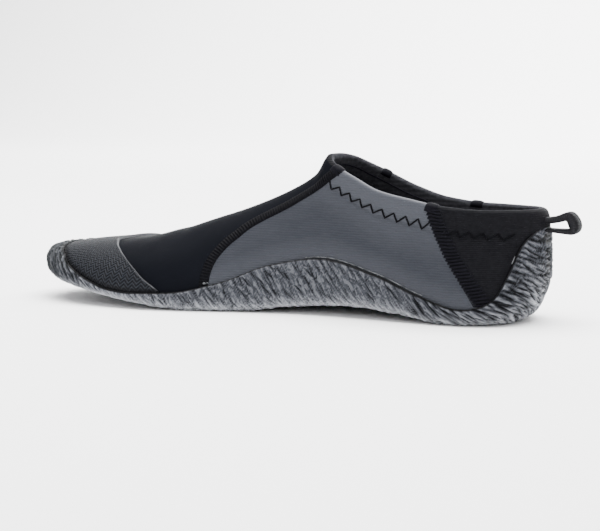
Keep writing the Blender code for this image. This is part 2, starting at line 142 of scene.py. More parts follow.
# Height of the ridge line
RIDGE = table(
    "station height",
    (0.0, 118.0), (70.0, 117.0), (95.0, 104.0), (110.0, 90.0), (COLLAR_FRONT, 82.5), (125.0, 71.9),
    (138.0, 63.9), (160.0, 54.4), (185.0, 45.9), (207.0, 39.5), (222.0, 35.5), (246.0, 32.6),
    (275.0, 31.2), (SOLE_LENGTH, 30.8),
)

# Height of the sole's underside
UNDER = table(
    "station medial lateral",
    (0.0, 0.0, 0.0), (46.0, 0.0, 0.0), (66.0, 2.6, 0.6), (95.0, 5.2, 1.6), (130.0, 3.2, 0.9),
    (158.0, 0.0, 0.0), (186.0, 0.0, 0.0), (212.0, 2.6, 2.6), (240.0, 6.4, 6.4), (265.0, 9.6, 9.6),
    (SOLE_LENGTH, 12.0, 12.0),
)

# How far the lower edge is tucked in, and over what height
TUCK = table(
    "station inward upward",
    (0.0, 17.0, 22.0), (12.0, 11.0, 14.0), (HEEL_CENTRE, 5.0, 5.0), (95.0, 5.0, 6.0),
    (160.0, 4.0, 3.4), (240.0, 5.0, 3.6), (SOLE_LENGTH, 7.0, 5.0),
)

# Superellipse powers of the section above its widest point
DOME = table(
    "station across upward",
    (0.0, 2.8, 1.9), (60.0, 2.8, 1.9), (COLLAR_FRONT, 2.3, 1.7), (160.0, 2.1, 1.55),
    (212.0, 2.2, 1.7), (250.0, 2.8, 1.9), (SOLE_LENGTH, 4.6, 2.2),
)

# Height of the rubber's upper edge
RAND = table(
    "station medial lateral",
    (RAND_OUT, 48.3, 48.3), (5.0, 45.6, 45.6), (9.0, 40.0, 40.0), (14.0, 27.0, 27.0),
    (20.0, 14.5, 14.5), (26.0, 10.2, 10.2), (35.0, 8.4, 8.4), (57.0, 13.9, 11.0),
    (81.0, 22.8, 17.0), (112.0, 29.4, 21.0), (140.0, 25.0, 18.0), (168.0, 14.6, 11.0),
    (192.0, 9.3, 8.0), (212.0, 8.7, 8.7), (228.0, 10.1, 10.1), (240.0, 13.0, 13.0),
    (260.0, 20.4, 20.4), (270.0, 24.8, 24.8), (SOLE_LENGTH - RAND_OUT, 28.0, 28.0),
)

# Height of the collar's upper edge
RIM = table(
    "station medial lateral",
    (0.0, 57.2, 57.2), (20.0, 57.2, 56.7), (42.0, 58.2, 57.0), (64.0, 61.7, 59.4), (82.0, 65.4, 65.0),
    (96.0, 71.4, 71.8), (106.0, 75.8, 77.2), (113.0, 79.7, 81.2), (COLLAR_FRONT, 82.5, 82.5),
)


# The form

def curve(rows, column, at):
    """Smooth curve through one column of a table, without overshoot and level at its ends."""
    place = np.array([row.station for row in rows])
    value = np.array([getattr(row, column) for row in rows])
    step = np.diff(place)
    rise = np.diff(value) / step
    slope = np.zeros(len(place))
    product = rise[:-1] * rise[1:]
    same = product > 0.0
    slope[1:-1][same] = 2.0 * product[same] / (rise[:-1] + rise[1:])[same]
    at = np.clip(at, place[0], place[-1])
    k = np.clip(np.searchsorted(place, at, side="right") - 1, 0, len(step) - 1)
    t = (at - place[k]) / step[k]
    bend = step[k] * t * (1.0 - t) * (slope[k] * (1.0 - t) - slope[k + 1] * t)
    return value[k] + (value[k + 1] - value[k]) * ease(t) + bend


def by_side(rows, side, at):
    """A table's value at a station, from its medial or its lateral column."""
    return np.where(side < 0, curve(rows, "medial", at), curve(rows, "lateral", at))


def side_of(walk):
    return np.where(walk < 0, MEDIAL, LATERAL)


def spread(walk):
    """Root, direction, reach and side of the section at each place on a walk round the foot.

    A walk of 0 is the back of the heel, 1 the side of the heel centre, 2 the side of the ball and 3
    the toe tip, negative on the medial side.
    """
    walk = np.asarray(walk, float)
    side = side_of(walk)
    far = np.abs(walk)
    station = HEEL_CENTRE + share_of(far - 1.0) * (BALL_STATION - HEEL_CENTRE)
    ridge = curve(PLAN, "ridge", station)
    half = by_side(PLAN, side, station) - side * ridge
    fan = share_of(far - 2.0) - share_of(1.0 - far)
    along = np.sin(fan * math.pi / 2)
    across = np.cos(fan * math.pi / 2)
    length = np.where(fan < 0, HEEL_REACH, TOE_REACH)
    power = np.where(side < 0, TOE_POWER_MEDIAL, TOE_POWER_LATERAL)
    power = np.where(fan < 0, HEEL_POWER, power)
    reach = ((np.abs(along) / length) ** power + (np.abs(across) / half) ** power) ** (-1.0 / power)
    return station, ridge, along, side * across, reach, side


def form(walk, turn):
    """Points on the outside of the upper: turn -1 is its lower edge, 0 its widest place, 1 the ridge."""
    station, ridge, along, across, reach, side = spread(walk)
    turn = np.asarray(turn, float) * math.pi / 2
    outer = station + along * reach
    wide_rise = curve(TUCK, "upward", outer)
    wide = by_side(UNDER, side, outer) + RAND_OUT + wide_rise
    low = np.minimum(turn, 0.0)
    high = np.maximum(turn, 0.0)
    r = reach * np.abs(np.cos(high)) ** (2.0 / curve(DOME, "across", outer))
    r = r - curve(TUCK, "inward", outer) * (1.0 - np.cos(low))
    place = station + along * r
    dome = np.sin(high) ** (2.0 / curve(DOME, "upward", outer))
    z = wide + wide_rise * np.sin(low) + (curve(RIDGE, "height", place) - wide) * dome
    return np.stack([-place, ridge + across * r, z], axis=-1)


def slopes(walk, turn):
    """The form's directions along the walk and up the turn, per unit of each."""
    walk, turn = np.broadcast_arrays(np.asarray(walk, float), np.asarray(turn, float))
    upper = np.minimum(turn + SMALL_STEP, 1.0)
    lower = np.maximum(turn - SMALL_STEP, -1.0)
    round_about = (form(walk + SMALL_STEP, turn) - form(walk - SMALL_STEP, turn)) / (2 * SMALL_STEP)
    upward = (form(walk, upper) - form(walk, lower)) / (upper - lower)[..., None]
    return round_about, upward


def normals(walk, turn):
    """Outward unit normals of the form; on the ridge line both sides share one normal."""
    round_about, upward = slopes(walk, turn)
    normal = unit(np.cross(round_about, upward))
    station = np.broadcast_to(spread(walk)[0], normal.shape[:-1])
    ahead = curve(RIDGE, "height", station + CREST_STEP)
    behind = curve(RIDGE, "height", station - CREST_STEP)
    climb = (ahead - behind) / (2 * CREST_STEP)
    crest = unit(np.stack([climb, np.zeros_like(climb), np.ones_like(climb)], axis=-1))
    return np.where((np.asarray(turn) > CREST_TURN)[..., None], crest, normal)


def skin(walk, turn, lift):
    """The form moved outwards by a lift."""
    walk, turn, lift = np.broadcast_arrays(walk, turn, lift)
    return form(walk, turn) + normals(walk, turn) * np.asarray(lift, float)[..., None]


def turn_at(walk, height, lift=0.0):
    """The turn at which each section, moved out by a lift, reaches a height, found by halving."""
    walk, height = np.broadcast_arrays(np.asarray(walk, float), np.asarray(height, float))
    low = np.full(walk.shape, -1.0)
    high = np.full(walk.shape, 1.0)
    for _ in range(HALVINGS):
        middle = (low + high) / 2
        point = skin(walk, middle, lift) if lift else form(walk, middle)
        below = point[..., 2] < height
        low = np.where(below, middle, low)
        high = np.where(below, high, middle)
    return (low + high) / 2


def even_turns(walk, start, end, count):
    """Rows of turns between two limits, spaced half by angle and half by length on the form."""
    share = np.linspace(0.0, 1.0, FINE_STEPS)[:, None]
    turn = start + (end - start) * share
    length = runs_up(form(walk, turn))
    measure = (length / np.maximum(length[-1], SMALL_STEP) + share) / 2
    wish = np.linspace(0.0, 1.0, count)
    columns = [np.interp(wish, measure[:, k], turn[:, k]) for k in range(len(walk))]
    return np.stack(columns, axis=1)


def nearest(points, walk, turn):
    """Walk and turn of the places on the form nearest to some points, from a first guess."""
    for _ in range(NEAREST_ROUNDS):
        a, b = slopes(walk, turn)
        miss = points - form(walk, turn)
        aa, ab, bb = (a * a).sum(-1), (a * b).sum(-1), (b * b).sum(-1)
        am, bm = (a * miss).sum(-1), (b * miss).sum(-1)
        area = np.maximum(aa * bb - ab * ab, SMALL_AREA)
        walk = walk + (am * bb - bm * ab) / area
        turn = np.clip(turn + (bm * aa - am * ab) / area, -1.0, 1.0)
    return walk, turn


def walk_at(station):
    """Walk along the straight part of the foot, between heel centre and ball."""
    return 1.0 + (station - HEEL_CENTRE) / (BALL_STATION - HEEL_CENTRE)


def section_walk(station):
    """Walk of the section whose widest place lies at a station behind the ball."""
    back = share_of((HEEL_CENTRE - station) / HEEL_REACH)
    return np.where(station >= HEEL_CENTRE, walk_at(station), 1.0 - np.arcsin(back) / (math.pi / 2))


def place(station, height, side):
    """Walk and turn of a point on one side, from its station and height."""
    aim = np.array(station, float)
    for _ in range(PLACE_ROUNDS):
        walk = side * section_walk(aim)
        turn = turn_at(walk, height)
        aim = np.clip(aim + station + form(walk, turn)[..., 0], RAND_OUT, BALL_STATION)
    return walk, turn


def edge_at(rows, walk):
    """A table's height at each section's widest place."""
    station, _, along, _, reach, side = spread(walk)
    return by_side(rows, side, station + along * reach)


def under_at(walk):
    return edge_at(UNDER, walk)


def rand_at(walk):
    return edge_at(RAND, walk)


def rim_at(walk):
    return edge_at(RIM, walk)


def both_sides(half):
    """A closed walk round the foot from a half walk that runs from 0 to 3."""
    half = np.asarray(half)
    return np.concatenate([-half[::-1], half[1:-1]])


def along_path(points, count):
    """A smooth path with even steps through a few points, given as rows."""
    points = np.asarray(points, float)
    knot = np.arange(len(points))
    fine = np.linspace(0.0, len(points) - 1.0, PATH_STEPS)
    slope = np.gradient(points, axis=0)
    k = np.clip(fine.astype(int), 0, len(points) - 2)
    t = (fine - knot[k])[:, None]
    first, last = points[k], points[k + 1]
    bend = t * (1.0 - t) * (slope[k] * (1.0 - t) - slope[k + 1] * t)
    return resample(first + (last - first) * ease(t) + bend, count)


# The world place of station 0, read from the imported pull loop
LOOP_HEIGHT = 51.4


def loop_root():
    """How far back the heel reaches where the pull loop starts."""
    return form(0.0, turn_at(0.0, LOOP_HEIGHT))[0] + GAP


def heel_back():
    low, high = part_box("pull_loop")
    return np.array([low.x / MM - loop_root(), (low.y + high.y) / 2 / MM, 0.0])


ORIGIN = heel_back()


# Meshes

class Mesh:
    """Grids of points that become one object, with a cloth place and some values at each point."""

    def __init__(self):
        self.points = []
        self.faces = []
        self.cloth = []
        self.values = {}
        self.count = 0

    def add(self, points, closed=False, flip=False, cloth=None, keep=None, **values):
        """Quads over a grid (rows, columns, xyz); closed joins the last column to the first."""
        rows, columns = points.shape[:2]
        r = np.arange(rows - 1)[:, None]
        c = np.arange(columns if closed else columns - 1)[None, :]
        n = (c + 1) % columns
        corners = [r * columns + c, r * columns + n, (r + 1) * columns + n, (r + 1) * columns + c]
        quads = np.stack(np.broadcast_arrays(*corners), axis=-1).reshape(-1, 4) + self.count
        if keep is not None:
            quads = quads[keep.ravel()]
        self.faces.append(quads[:, ::-1] if flip else quads)
        self.points.append(points.reshape(-1, 3))
        if cloth is None:
            cloth = points[..., [0, 2]]
        self.cloth.append(np.concatenate([cloth.reshape(-1, 2), np.zeros((rows * columns, 1))], axis=1))
        for name, value in values.items():
            grid = np.broadcast_to(np.asarray(value, float), (rows, columns))
            self.values.setdefault(name, []).append(grid.reshape(-1))
        self.count += rows * columns

    def slab(self, inner, outer, **settings):
        """A closed slab between two open grids of one size, walled along its open edges."""
        first = self.count
        self.add(outer, **settings)
        quads = self.faces[-1]
        self.add(inner, flip=True, **settings)
        size = outer.shape[0] * outer.shape[1]
        rounded = np.round(outer.reshape(-1, 3) / SAME_SPOT)
        spot = np.unique(rounded, axis=0, return_inverse=True)[1].ravel()
        start = quads.ravel()
        end = np.roll(quads, -1, axis=1).ravel()
        here, there = spot[start - first], spot[end - first]
        lone = (here != there) & ~np.isin(here * size + there, there * size + here)
        start, end = start[lone], end[lone]
        self.faces.append(np.stack([end, start, start + size, end + size], axis=-1))

    def make(self, name, material, replaces=()):
        """The finished object, riding on the shoe."""
        points = (np.concatenate(self.points) + ORIGIN) * MM
        faces = np.concatenate(self.faces)
        data = bpy.data.meshes.new(name)
        data.vertices.add(len(points))
        data.vertices.foreach_set("co", points.astype(np.float32).ravel())
        data.loops.add(faces.size)
        data.loops.foreach_set("vertex_index", faces.astype(np.int32).ravel())
        data.polygons.add(len(faces))
        data.polygons.foreach_set("loop_start", np.arange(0, faces.size, 4, dtype=np.int32))
        data.update(calc_edges=True)
        attribute = data.attributes.new("cloth", "FLOAT_VECTOR", "POINT")
        attribute.data.foreach_set("vector", np.concatenate(self.cloth).astype(np.float32).ravel())
        for label, parts in self.values.items():
            attribute = data.attributes.new(label, "FLOAT", "POINT")
            attribute.data.foreach_set("value", np.concatenate(parts).astype(np.float32))
        work = bmesh.new()
        work.from_mesh(data)
        bmesh.ops.remove_doubles(work, verts=work.verts, dist=MERGE_DISTANCE)
        bmesh.ops.dissolve_degenerate(work, edges=work.edges, dist=MERGE_DISTANCE)
        work.to_mesh(data)
        work.free()
        data.shade_smooth()
        data.set_sharp_from_angle(angle=math.radians(SHARP_DEGREES))
        data.materials.append(material)
        piece = bpy.data.objects.new(name, data)
        bpy.context.scene.collection.objects.link(piece)
        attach(piece, "root")
        if replaces:
            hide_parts(*replaces)
        return piece


# Materials

# The share of a colour that is left for the bright studio light to bring out
DIMMED = 0.27


def linear(colour, share=DIMMED):
    """A colour given in 0 to 255 display values, as the shader wants it."""
    level = np.asarray(colour, float) / 255.0
    value = np.where(level <= 0.04045, level / 12.92, ((level + 0.055) / 1.055) ** 2.4)
    return (*(value * share).tolist(), 1.0)


class Shader:
    """A Principled material with short calls for its nodes."""

    def __init__(self, name, roughness, shine=0.1, **settings):
        self.material = bpy.data.materials.new(name)
        self.material.use_nodes = True
        self.tree = self.material.node_tree
        self.bsdf = self.tree.nodes["Principled BSDF"]
        self.bsdf.inputs["Roughness"].default_value = roughness
        self.bsdf.inputs["Specular IOR Level"].default_value = shine
        for label, value in settings.items():
            self.bsdf.inputs[label.replace("_", " ")].default_value = value

    def fill(self, socket, value):
        """Link a socket to another one, or set it to a plain value."""
        if isinstance(value, bpy.types.NodeSocket):
            self.tree.links.new(value, socket)
        else:
            socket.default_value = value

    def node(self, kind, inputs=None, **settings):
        made = self.tree.nodes.new(kind)
        for label, value in settings.items():
            setattr(made, label, value)
        for label, value in (inputs or {}).items():
            self.fill(made.inputs[label], value)
        return made

    def math(self, operation, a, b=0.0, c=0.0):
        return self.node("ShaderNodeMath", {0: a, 1: b, 2: c}, operation=operation).outputs[0]

    def scaled(self, value, by, plus):
        """A value times a number, plus a number or another value."""
        return self.math("MULTIPLY_ADD", value, by, plus)

    def clamp(self, value):
        return self.math("MINIMUM", self.math("MAXIMUM", value, 0.0), 1.0)

    def value(self, name):
        return self.node("ShaderNodeAttribute", attribute_name=name).outputs["Fac"]

    def cloth_place(self):
        """The piece's own cloth place in millimetres."""
        return self.node("ShaderNodeAttribute", attribute_name="cloth").outputs["Vector"]

    def cloth(self):
        """The cloth place's two directions, along and up."""
        split = self.node("ShaderNodeSeparateXYZ", {0: self.cloth_place()})
        return split.outputs["X"], split.outputs["Y"]

    def grain(self, at, scale, detail, roughness=0.5):
        """Noise at a place, with a scale in each direction."""
        drawn = self.node("ShaderNodeVectorMath", {0: at, 1: scale}, operation="MULTIPLY").outputs[0]
        inputs = {"Vector": drawn, "Scale": 1.0, "Detail": detail, "Roughness": roughness}
        return self.node("ShaderNodeTexNoise", inputs).outputs["Fac"]

    def noise(self, size, detail=2.0, stretch=(1.0, 1.0, 1.0), roughness=0.5):
        """Noise with grains of about a size in millimetres, in the object's own space."""
        at = self.node("ShaderNodeTexCoord").outputs["Object"]
        return self.grain(at, [s / (size * MM) for s in stretch], detail, roughness)

    def wave(self, value, period):
        """A rounded wave from 0 to 1 with a period in millimetres."""
        angle = self.math("MULTIPLY", value, 2 * math.pi / period)
        return self.scaled(self.math("SINE", angle), 0.5, 0.5)

    def knit(self, up, pitch, grain, sway):
        """Rows of knit at a pitch that sway a little, all in millimetres."""
        return self.wave(self.scaled(self.noise(grain), sway, up), pitch)

    def ramp(self, value, stops):
        """Colours (display values) by a value, as (place, colour) stops."""
        made = self.node("ShaderNodeValToRGB", {"Fac": value})
        elements = made.color_ramp.elements
        while len(elements) < len(stops):
            elements.new(0.5)
        for element, (at, colour) in zip(elements, stops):
            element.position = at
            element.color = linear(colour)
        return made.outputs["Color"]

    def mottled(self, noise, dark, light):
        """A colour that wavers between a dark and a light one."""
        return self.ramp(noise, [(0.3, dark), (0.7, light)])

    def mix(self, share, first, second):
        """A mix of a colour socket with a plain colour, in display values or ready for the shader."""
        made = self.node("ShaderNodeMix", {"Factor": share}, data_type="RGBA")
        self.fill(made.inputs[6], first)
        self.fill(made.inputs[7], second if len(second) == 4 else linear(second))
        return made.outputs[2]

    def colour(self, value):
        self.fill(self.bsdf.inputs["Base Color"], value)

    def relief(self, *layers):
        """Layers of relief, lowest first: a height of 0 to 1 and a depth in millimetres each."""
        inputs = {}
        for height, depth in layers:
            inputs.update({"Height": height, "Strength": 1.0, "Distance": depth * MM})
            inputs = {"Normal": self.node("ShaderNodeBump", inputs).outputs["Normal"]}
        self.fill(self.bsdf.inputs["Normal"], inputs["Normal"])


def jersey_material():
    """Grey jersey facing: fine rows of knit, a little mottled, with painted light toward the hem and near the
    rubber, and a painted highlight along the crest of the rolled hem.
    """
    shader = Shader("grey_jersey", 0.8, 0.05, Sheen_Weight=0.01, Sheen_Roughness=0.5)
    along, up = shader.cloth()
    rows = shader.knit(up, 1.25, 6.0, 0.9)
    stitches = shader.wave(along, 0.9)
    mottle = shader.noise(2.2, 3.0, (0.35, 1.0, 1.6))
    tone = shader.scaled(mottle, 0.3, shader.math("MULTIPLY", rows, 0.18))
    tone = shader.scaled(shader.noise(38.0, 1.0), 0.3, tone)
    grey = shader.ramp(tone, [(0.12, (74, 77, 86)), (0.4, (85, 88, 97)), (0.68, (96, 99, 108))])
    # Painted light: lighter toward the collar's hem and just above the rubber, standing in for light from
    # above and light thrown up by the floor
    painted_lit_grey = shader.mix(shader.value("pale"), grey, (124, 127, 136))
    # Painted highlight whitening the crest of the rolled hem
    shader.colour(shader.mix(shader.value("edge"), painted_lit_grey, (200, 202, 208)))
    shader.relief((shader.scaled(stitches, 0.35, rows), 0.10), (shader.noise(0.6, 2.0), 0.12))
    return shader.material


def neoprene_material():
    """Smooth black neoprene with a soft shine."""
    shader = Shader("black_neoprene", 0.5, 0.01)
    shader.colour(shader.mottled(shader.noise(30.0, 2.0), (28, 30, 37), (32, 34, 41)))
    fine = shader.noise(0.5, 3.0)
    shader.fill(shader.bsdf.inputs["Roughness"], shader.scaled(fine, 0.2, 0.40))
    shader.relief((shader.noise(9.0, 1.0), 0.08), (fine, 0.05))
    return shader.material


def panel_material():
    """Matt black jersey-faced neoprene of the heel."""
    shader = Shader("black_jersey", 0.8, 0.05)
    rows = shader.knit(shader.cloth()[1], 1.0, 5.0, 0.8)
    mottle = shader.noise(1.6, 3.0)
    shader.colour(shader.mottled(mottle, (27, 27, 32), (38, 38, 43)))
    shader.relief((rows, 0.10), (mottle, 0.10))
    return shader.material


def lining_material(name, dark, light):
    shader = Shader(name, 0.9, 0.03)
    rows = shader.knit(shader.cloth()[1], 2.4, 4.0, 1.2)
    shader.colour(shader.mottled(shader.noise(2.0, 3.0), dark, light))
    shader.relief((rows, 0.12), (shader.noise(0.7, 2.0), 0.12))
    return shader.material


def thread_material():
    shader = Shader("black_thread", 0.6, 0.03)
    dark = shader.mottled(shader.noise(1.2, 2.0), (12, 12, 16), (24, 24, 30))
    shader.colour(shader.mix(shader.value("rib"), dark, (44, 43, 54)))
    shader.relief((shader.noise(0.4, 1.0), 0.12))
    return shader.material


def webbing_material():
    """Dark tape with a ribbed weave."""
    shader = Shader("webbing", 0.75, 0.08)
    along, up = shader.cloth()
    ribs = shader.math("MULTIPLY", shader.wave(along, 0.9), shader.wave(up, 1.3))
    weave = shader.scaled(ribs, 0.8, shader.noise(0.5))
    shader.colour(shader.ramp(weave, [(0.3, (28, 28, 32)), (1.0, (56, 56, 61))]))
    shader.relief((weave, 0.2))
    return shader.material


def cap_material():
    """Grey zigzag weave, smooth along its rear edge, which carries a painted highlight; its foot by the
    rubber is darkened as painted shade.
    """
    shader = Shader("zigzag_weave", 0.55, 0.07)
    along, up = shader.cloth()
    folded = shader.math("PINGPONG", along, 2.5)
    weave = shader.wave(shader.math("ADD", folded, up), 2.1)
    speck = shader.noise(0.9, 2.0)
    tone = shader.scaled(speck, 0.4, shader.math("MULTIPLY", weave, 0.6))
    cloth = shader.ramp(tone, [(0.15, (15, 17, 22)), (0.5, (37, 40, 48)), (0.85, (70, 73, 81))])
    # Painted highlight along the raised rear edge
    edged = shader.mix(shader.value("edge"), cloth, (178, 180, 184))
    # Painted shade along the foot, in the groove against the rubber
    shader.colour(shader.mix(shader.value("foot"), edged, (26, 27, 32)))
    shader.relief((weave, 0.25), (speck, 0.06))
    return shader.material


def rubber_material():
    """Moulded grey rubber: painted shade darkens its grooves so its ridges read lighter, painted light lies
    along its lower edge and up the back of the heel, and a painted shadow line runs under its lip.
    """
    shader = Shader("moulded_rubber", 0.6, 0.08)
    streak = shader.grain(shader.cloth_place(), (0.2, 1.15, 1.0), 3.0)
    speck = shader.noise(1.1, 4.0, roughness=0.65)
    tone = shader.scaled(shader.math("SUBTRACT", speck, 0.5), 0.3, shader.value("relief"))
    tone = shader.scaled(shader.math("SUBTRACT", streak, 0.5), 1.0, tone)
    # Painted shade: the relief value is low in the grooves and picks the dark end of the ramp
    body = shader.ramp(tone, [(0.1, (30, 32, 37)), (0.45, (85, 88, 96)), (0.8, (113, 116, 125)),
                              (1.0, (150, 153, 161))])
    body = shader.mix(shader.value("toe"), body, (44, 48, 47))
    # Painted light along the lower edge and up the back of the heel, broken up by the streaks
    painted_light_share = shader.clamp(shader.scaled(streak, 3.0, -1.0))
    painted_light_share = shader.math("MULTIPLY", shader.value("low"), shader.scaled(painted_light_share, 0.75, 0.25))
    pale = shader.mix(painted_light_share, body, linear((232, 235, 242), 1.0))
    # Painted shadow line under the lip, also painted over the inside of the cup
    shader.colour(shader.mix(shader.value("band"), pale, (14, 14, 17)))
    shader.relief((streak, 0.45), (speck, 0.2), (shader.noise(0.5, 2.0), 0.08))
    return shader.material


def insole_material():
    shader = Shader("insole_cloth", 0.9, 0.03)
    shader.colour(shader.mottled(shader.noise(0.8, 2.0), (22, 22, 25), (36, 36, 40)))
    shader.relief((shader.noise(0.6, 2.0), 0.15))
    return shader.material


def bead_material():
    shader = Shader("glue_bead", 0.35, 0.3)
    shader.colour(shader.ramp(shader.noise(3.0, 2.0), [(0.35, (70, 72, 78)), (0.65, (165, 168, 172))]))
    return shader.material


# Rubber sole: its grid
WALL_ROWS = 84
SOLE_STEP = 0.68
SOLE_FINE = 6001
UNDER_MARGIN = 9.0
UNDER_ROWS = 10
UNDER_FADE = 1.6
UNDER_SHARES = (0.8, 0.62, 0.44, 0.34, 0.28, 0.14, 0.0)
INNER_SHARES = (1.0, 0.9, 0.6, 0.3, 0.0)

# Cross grooves of the tread, counted in columns, and where they end on the way out from the middle
TREAD_DEPTH = 1.2
TREAD_PERIOD = 4
TREAD_OVER = 1.2
TREAD_COLUMNS = (14, 36, 22)
TREAD_INNER = 0.28
TREAD_OUTER = 0.92
TREAD_ENDS = 0.06

# The wall's smooth lip, its slight swell, its cut heel corner and its blunt tip
LIP_ROUND = 0.8
LIP_HEIGHT = 1.2
WALL_SWELL = 0.45
WALL_SWELL_RISE = 2.0
HEEL_CUT = 1.7
HEEL_CUT_HEIGHT = 13.0
HEEL_CUT_REACH = 9.0
HEEL_CUT_WALK = 0.55
TIP_START = 2.65
TIP_BLEND = 0.2
TIP_SWELL = 1.1
TIP_SWELL_AT = 0.72
TIP_SWELL_WIDE = 0.16
TIP_CUT = 0.8
TIP_CUT_AT = 0.38
TIP_CUT_WIDE = 0.2

# Strokes cut into the rubber by zone: places on the walk, lean from level in degrees at both ends and
# what is added low down, spacing along and up, length, depth and the widths of the steep and slow sides
BARK = table(
    "start end lean_start lean_end low along up length depth steep slow",
    (0.0, 0.60, 3.0, 9.0, 24.0, 6.0, 2.2, 13.0, 1.6, 0.65, 0.95),
    (0.60, 1.10, 9.0, 40.0, 18.0, 5.0, 2.4, 11.0, 1.4, 0.6, 0.9),
    (1.10, 1.90, 50.0, 58.0, 0.0, 3.4, 8.0, 12.0, 1.1, 0.45, 0.65),
    (1.10, 1.90, 62.0, 76.0, 0.0, 1.8, 4.2, 5.5, 0.8, 0.45, 0.6),
    (1.90, 2.50, 56.0, 48.0, 0.0, 2.8, 5.0, 7.0, 1.2, 0.6, 0.85),
    (2.50, 3.0, 46.0, 24.0, 0.0, 3.2, 2.1, 7.0, 1.3, 0.65, 0.95),
    (0.9, 3.0, 30.0, 60.0, 0.0, 2.6, 2.6, 3.2, 0.6, 0.5, 0.7),
)
BARK_SEED = 11
BARK_TURN = 10.0
BARK_LENGTH_SPREAD = 0.7
BARK_DEPTH_SPREAD = 0.8
BARK_END_WIDTH = 0.35
FRINGE_SEED = 3
FRINGE_STEP = 1.1
FRINGE = 1.1
FRINGE_REACH = 5.0

# Lean of the fine streaks, in degrees from level; a station is here a place on the walk
LEANS = table(
    "station angle",
    (0.0, 12.0), (0.6, 18.0), (1.1, 46.0), (1.5, 60.0), (2.0, 56.0), (2.5, 46.0), (3.0, 28.0),
)

# Tones: painted shade in the grooves, painted light along the lower edge and up the heel's back, the darker
# toe and a painted shadow band under the lip
GROOVE_SHADE_DEPTH = 1.15
PALE_REACH = 6.0
PALE_HEEL_REACH = 6.0
PALE_HEEL_WALK = 0.6
PALE_BACK = 0.65
PALE_BACK_WALK = 0.24
PALE_BACK_HEIGHT = 36.0
PALE_BACK_OVER = 1.2
PALE_IN_GROOVES = 0.05
TOE_START = 2.5
TOE_BLEND = 0.3
TOE_RISE = 9.0
TOE_LOW = 0.3
TOE_MOST = 0.6
LIP_SHADOW_SOFT = 0.5
LIP_SHADOW_OVER = 1.8
LIP_SHADOW_TIP_FADE = 0.7


def sole_walk():
    """Columns round the sole with even steps, and their distance from the heel's middle."""
    fine = np.linspace(-3.0, 3.0, SOLE_FINE)
    run = run_along(skin(fine, 0.0, RAND_OUT))
    run = run - run[len(run) // 2]
    count = int((run[-1] - run[0]) / SOLE_STEP)
    at = np.linspace(run[0], run[-1], count, endpoint=False)
    return np.interp(at, run, fine), at, run, fine


def cut_stroke(depth, along, up, whole, zone, side, at, angle, length, cut):
    """Cut one stroke, steep on one side and slow on the other, into the depths round a place."""
    away = (along - at[0] + whole / 2) % whole - whole / 2
    near = np.nonzero(np.abs(away) < length / 2 + zone.slow)[0]
    du = -side * away[near][None, :]
    dv = up[:, near] - at[1]
    run_on = du * math.cos(angle) - dv * math.sin(angle)
    off = du * math.sin(angle) + dv * math.cos(angle)
    taper = share_of(1.0 - (2.0 * run_on / length) ** 2)
    wide = np.where(off < 0, zone.steep, zone.slow) * (BARK_END_WIDTH + (1.0 - BARK_END_WIDTH) * taper)
    groove = share_of(1.0 - np.abs(off) / wide) * np.sqrt(taper) * cut
    depth[:, near] = np.maximum(depth[:, near], groove)


def bark(along, up, height, run, fine):
    """Depth of the strokes at each place on the rubber's wall."""
    dice = np.random.RandomState(BARK_SEED)
    depth = np.zeros(up.shape)
    whole = run[-1] - run[0]
    for zone in BARK:
        for side in SIDES:
            first = abs(np.interp(side * zone.start, fine, run))
            last = abs(np.interp(side * zone.end, fine, run))
            for u in np.arange(first, last, zone.along):
                far = abs(np.interp(side * u, run, fine))
                share = share_of((far - zone.start) / (zone.end - zone.start))
                lean = zone.lean_start + (zone.lean_end - zone.lean_start) * share
                top = height[np.argmin(np.abs(along - side * u))]
                for v in np.arange(-UNDER_MARGIN, top + zone.up, zone.up):
                    shift = dice.uniform(-0.5, 0.5, 5)
                    at = (side * (u + shift[0] * zone.along), v + shift[1] * zone.up)
                    sink = zone.low * (1.0 - share_of(at[1] / max(top, 1.0)))
                    angle = math.radians(lean + sink + shift[2] * 2 * BARK_TURN)
                    length = zone.length * (1.0 + BARK_LENGTH_SPREAD * shift[3])
                    cut = zone.depth * (1.0 + BARK_DEPTH_SPREAD * shift[4])
                    cut_stroke(depth, along, up, whole, zone, side, at, angle, length, cut)
    return depth


def fringe(along, run):
    """Uneven depth of the rubber's lower edge."""
    dice = np.random.RandomState(FRINGE_SEED)
    knots = np.arange(run[0], run[-1] + FRINGE_STEP, FRINGE_STEP)
    return np.interp(along, knots, dice.uniform(0.0, FRINGE, len(knots)))


def streaks(walk, along, up):
    """Places along and across the fine streaks that follow the strokes."""
    lean = np.radians(curve(LEANS, "angle", np.abs(walk)))
    step = np.abs(np.gradient(along))
    middle = np.argmin(np.abs(along))
    across = np.cumsum(np.sign(along) * np.sin(lean) * step)
    onward = np.cumsum(np.sign(along) * np.cos(lean) * step)
    across, onward = across - across[middle], onward - onward[middle]
    return np.stack([onward + up * np.sin(lean), up * np.cos(lean) - across], axis=-1)


def floor_points(walk, share, edge, height):
    """Points between the ridge line's foot and an edge, at a share of the way out."""
    station, ridge = spread(walk)[:2]
    middle = (curve(UNDER, "medial", station) + curve(UNDER, "lateral", station)) / 2 + height
    root = np.stack([-station, ridge, middle], axis=-1)
    return root + (edge - root) * np.asarray(share)[..., None]


def tread_grooves(walk, shares):
    """1 in the middle of the sole's cross grooves and 0 between them and past their ends."""
    far = np.abs(walk)
    columns = sum(share_of(far - k) * count for k, count in enumerate(TREAD_COLUMNS))
    phase = columns % TREAD_PERIOD - TREAD_PERIOD / 2
    groove = share_of(TREAD_OVER - np.abs(phase)) * share_of((shares - TREAD_INNER) / TREAD_ENDS)
    return groove * share_of((TREAD_OUTER - shares) / TREAD_ENDS)


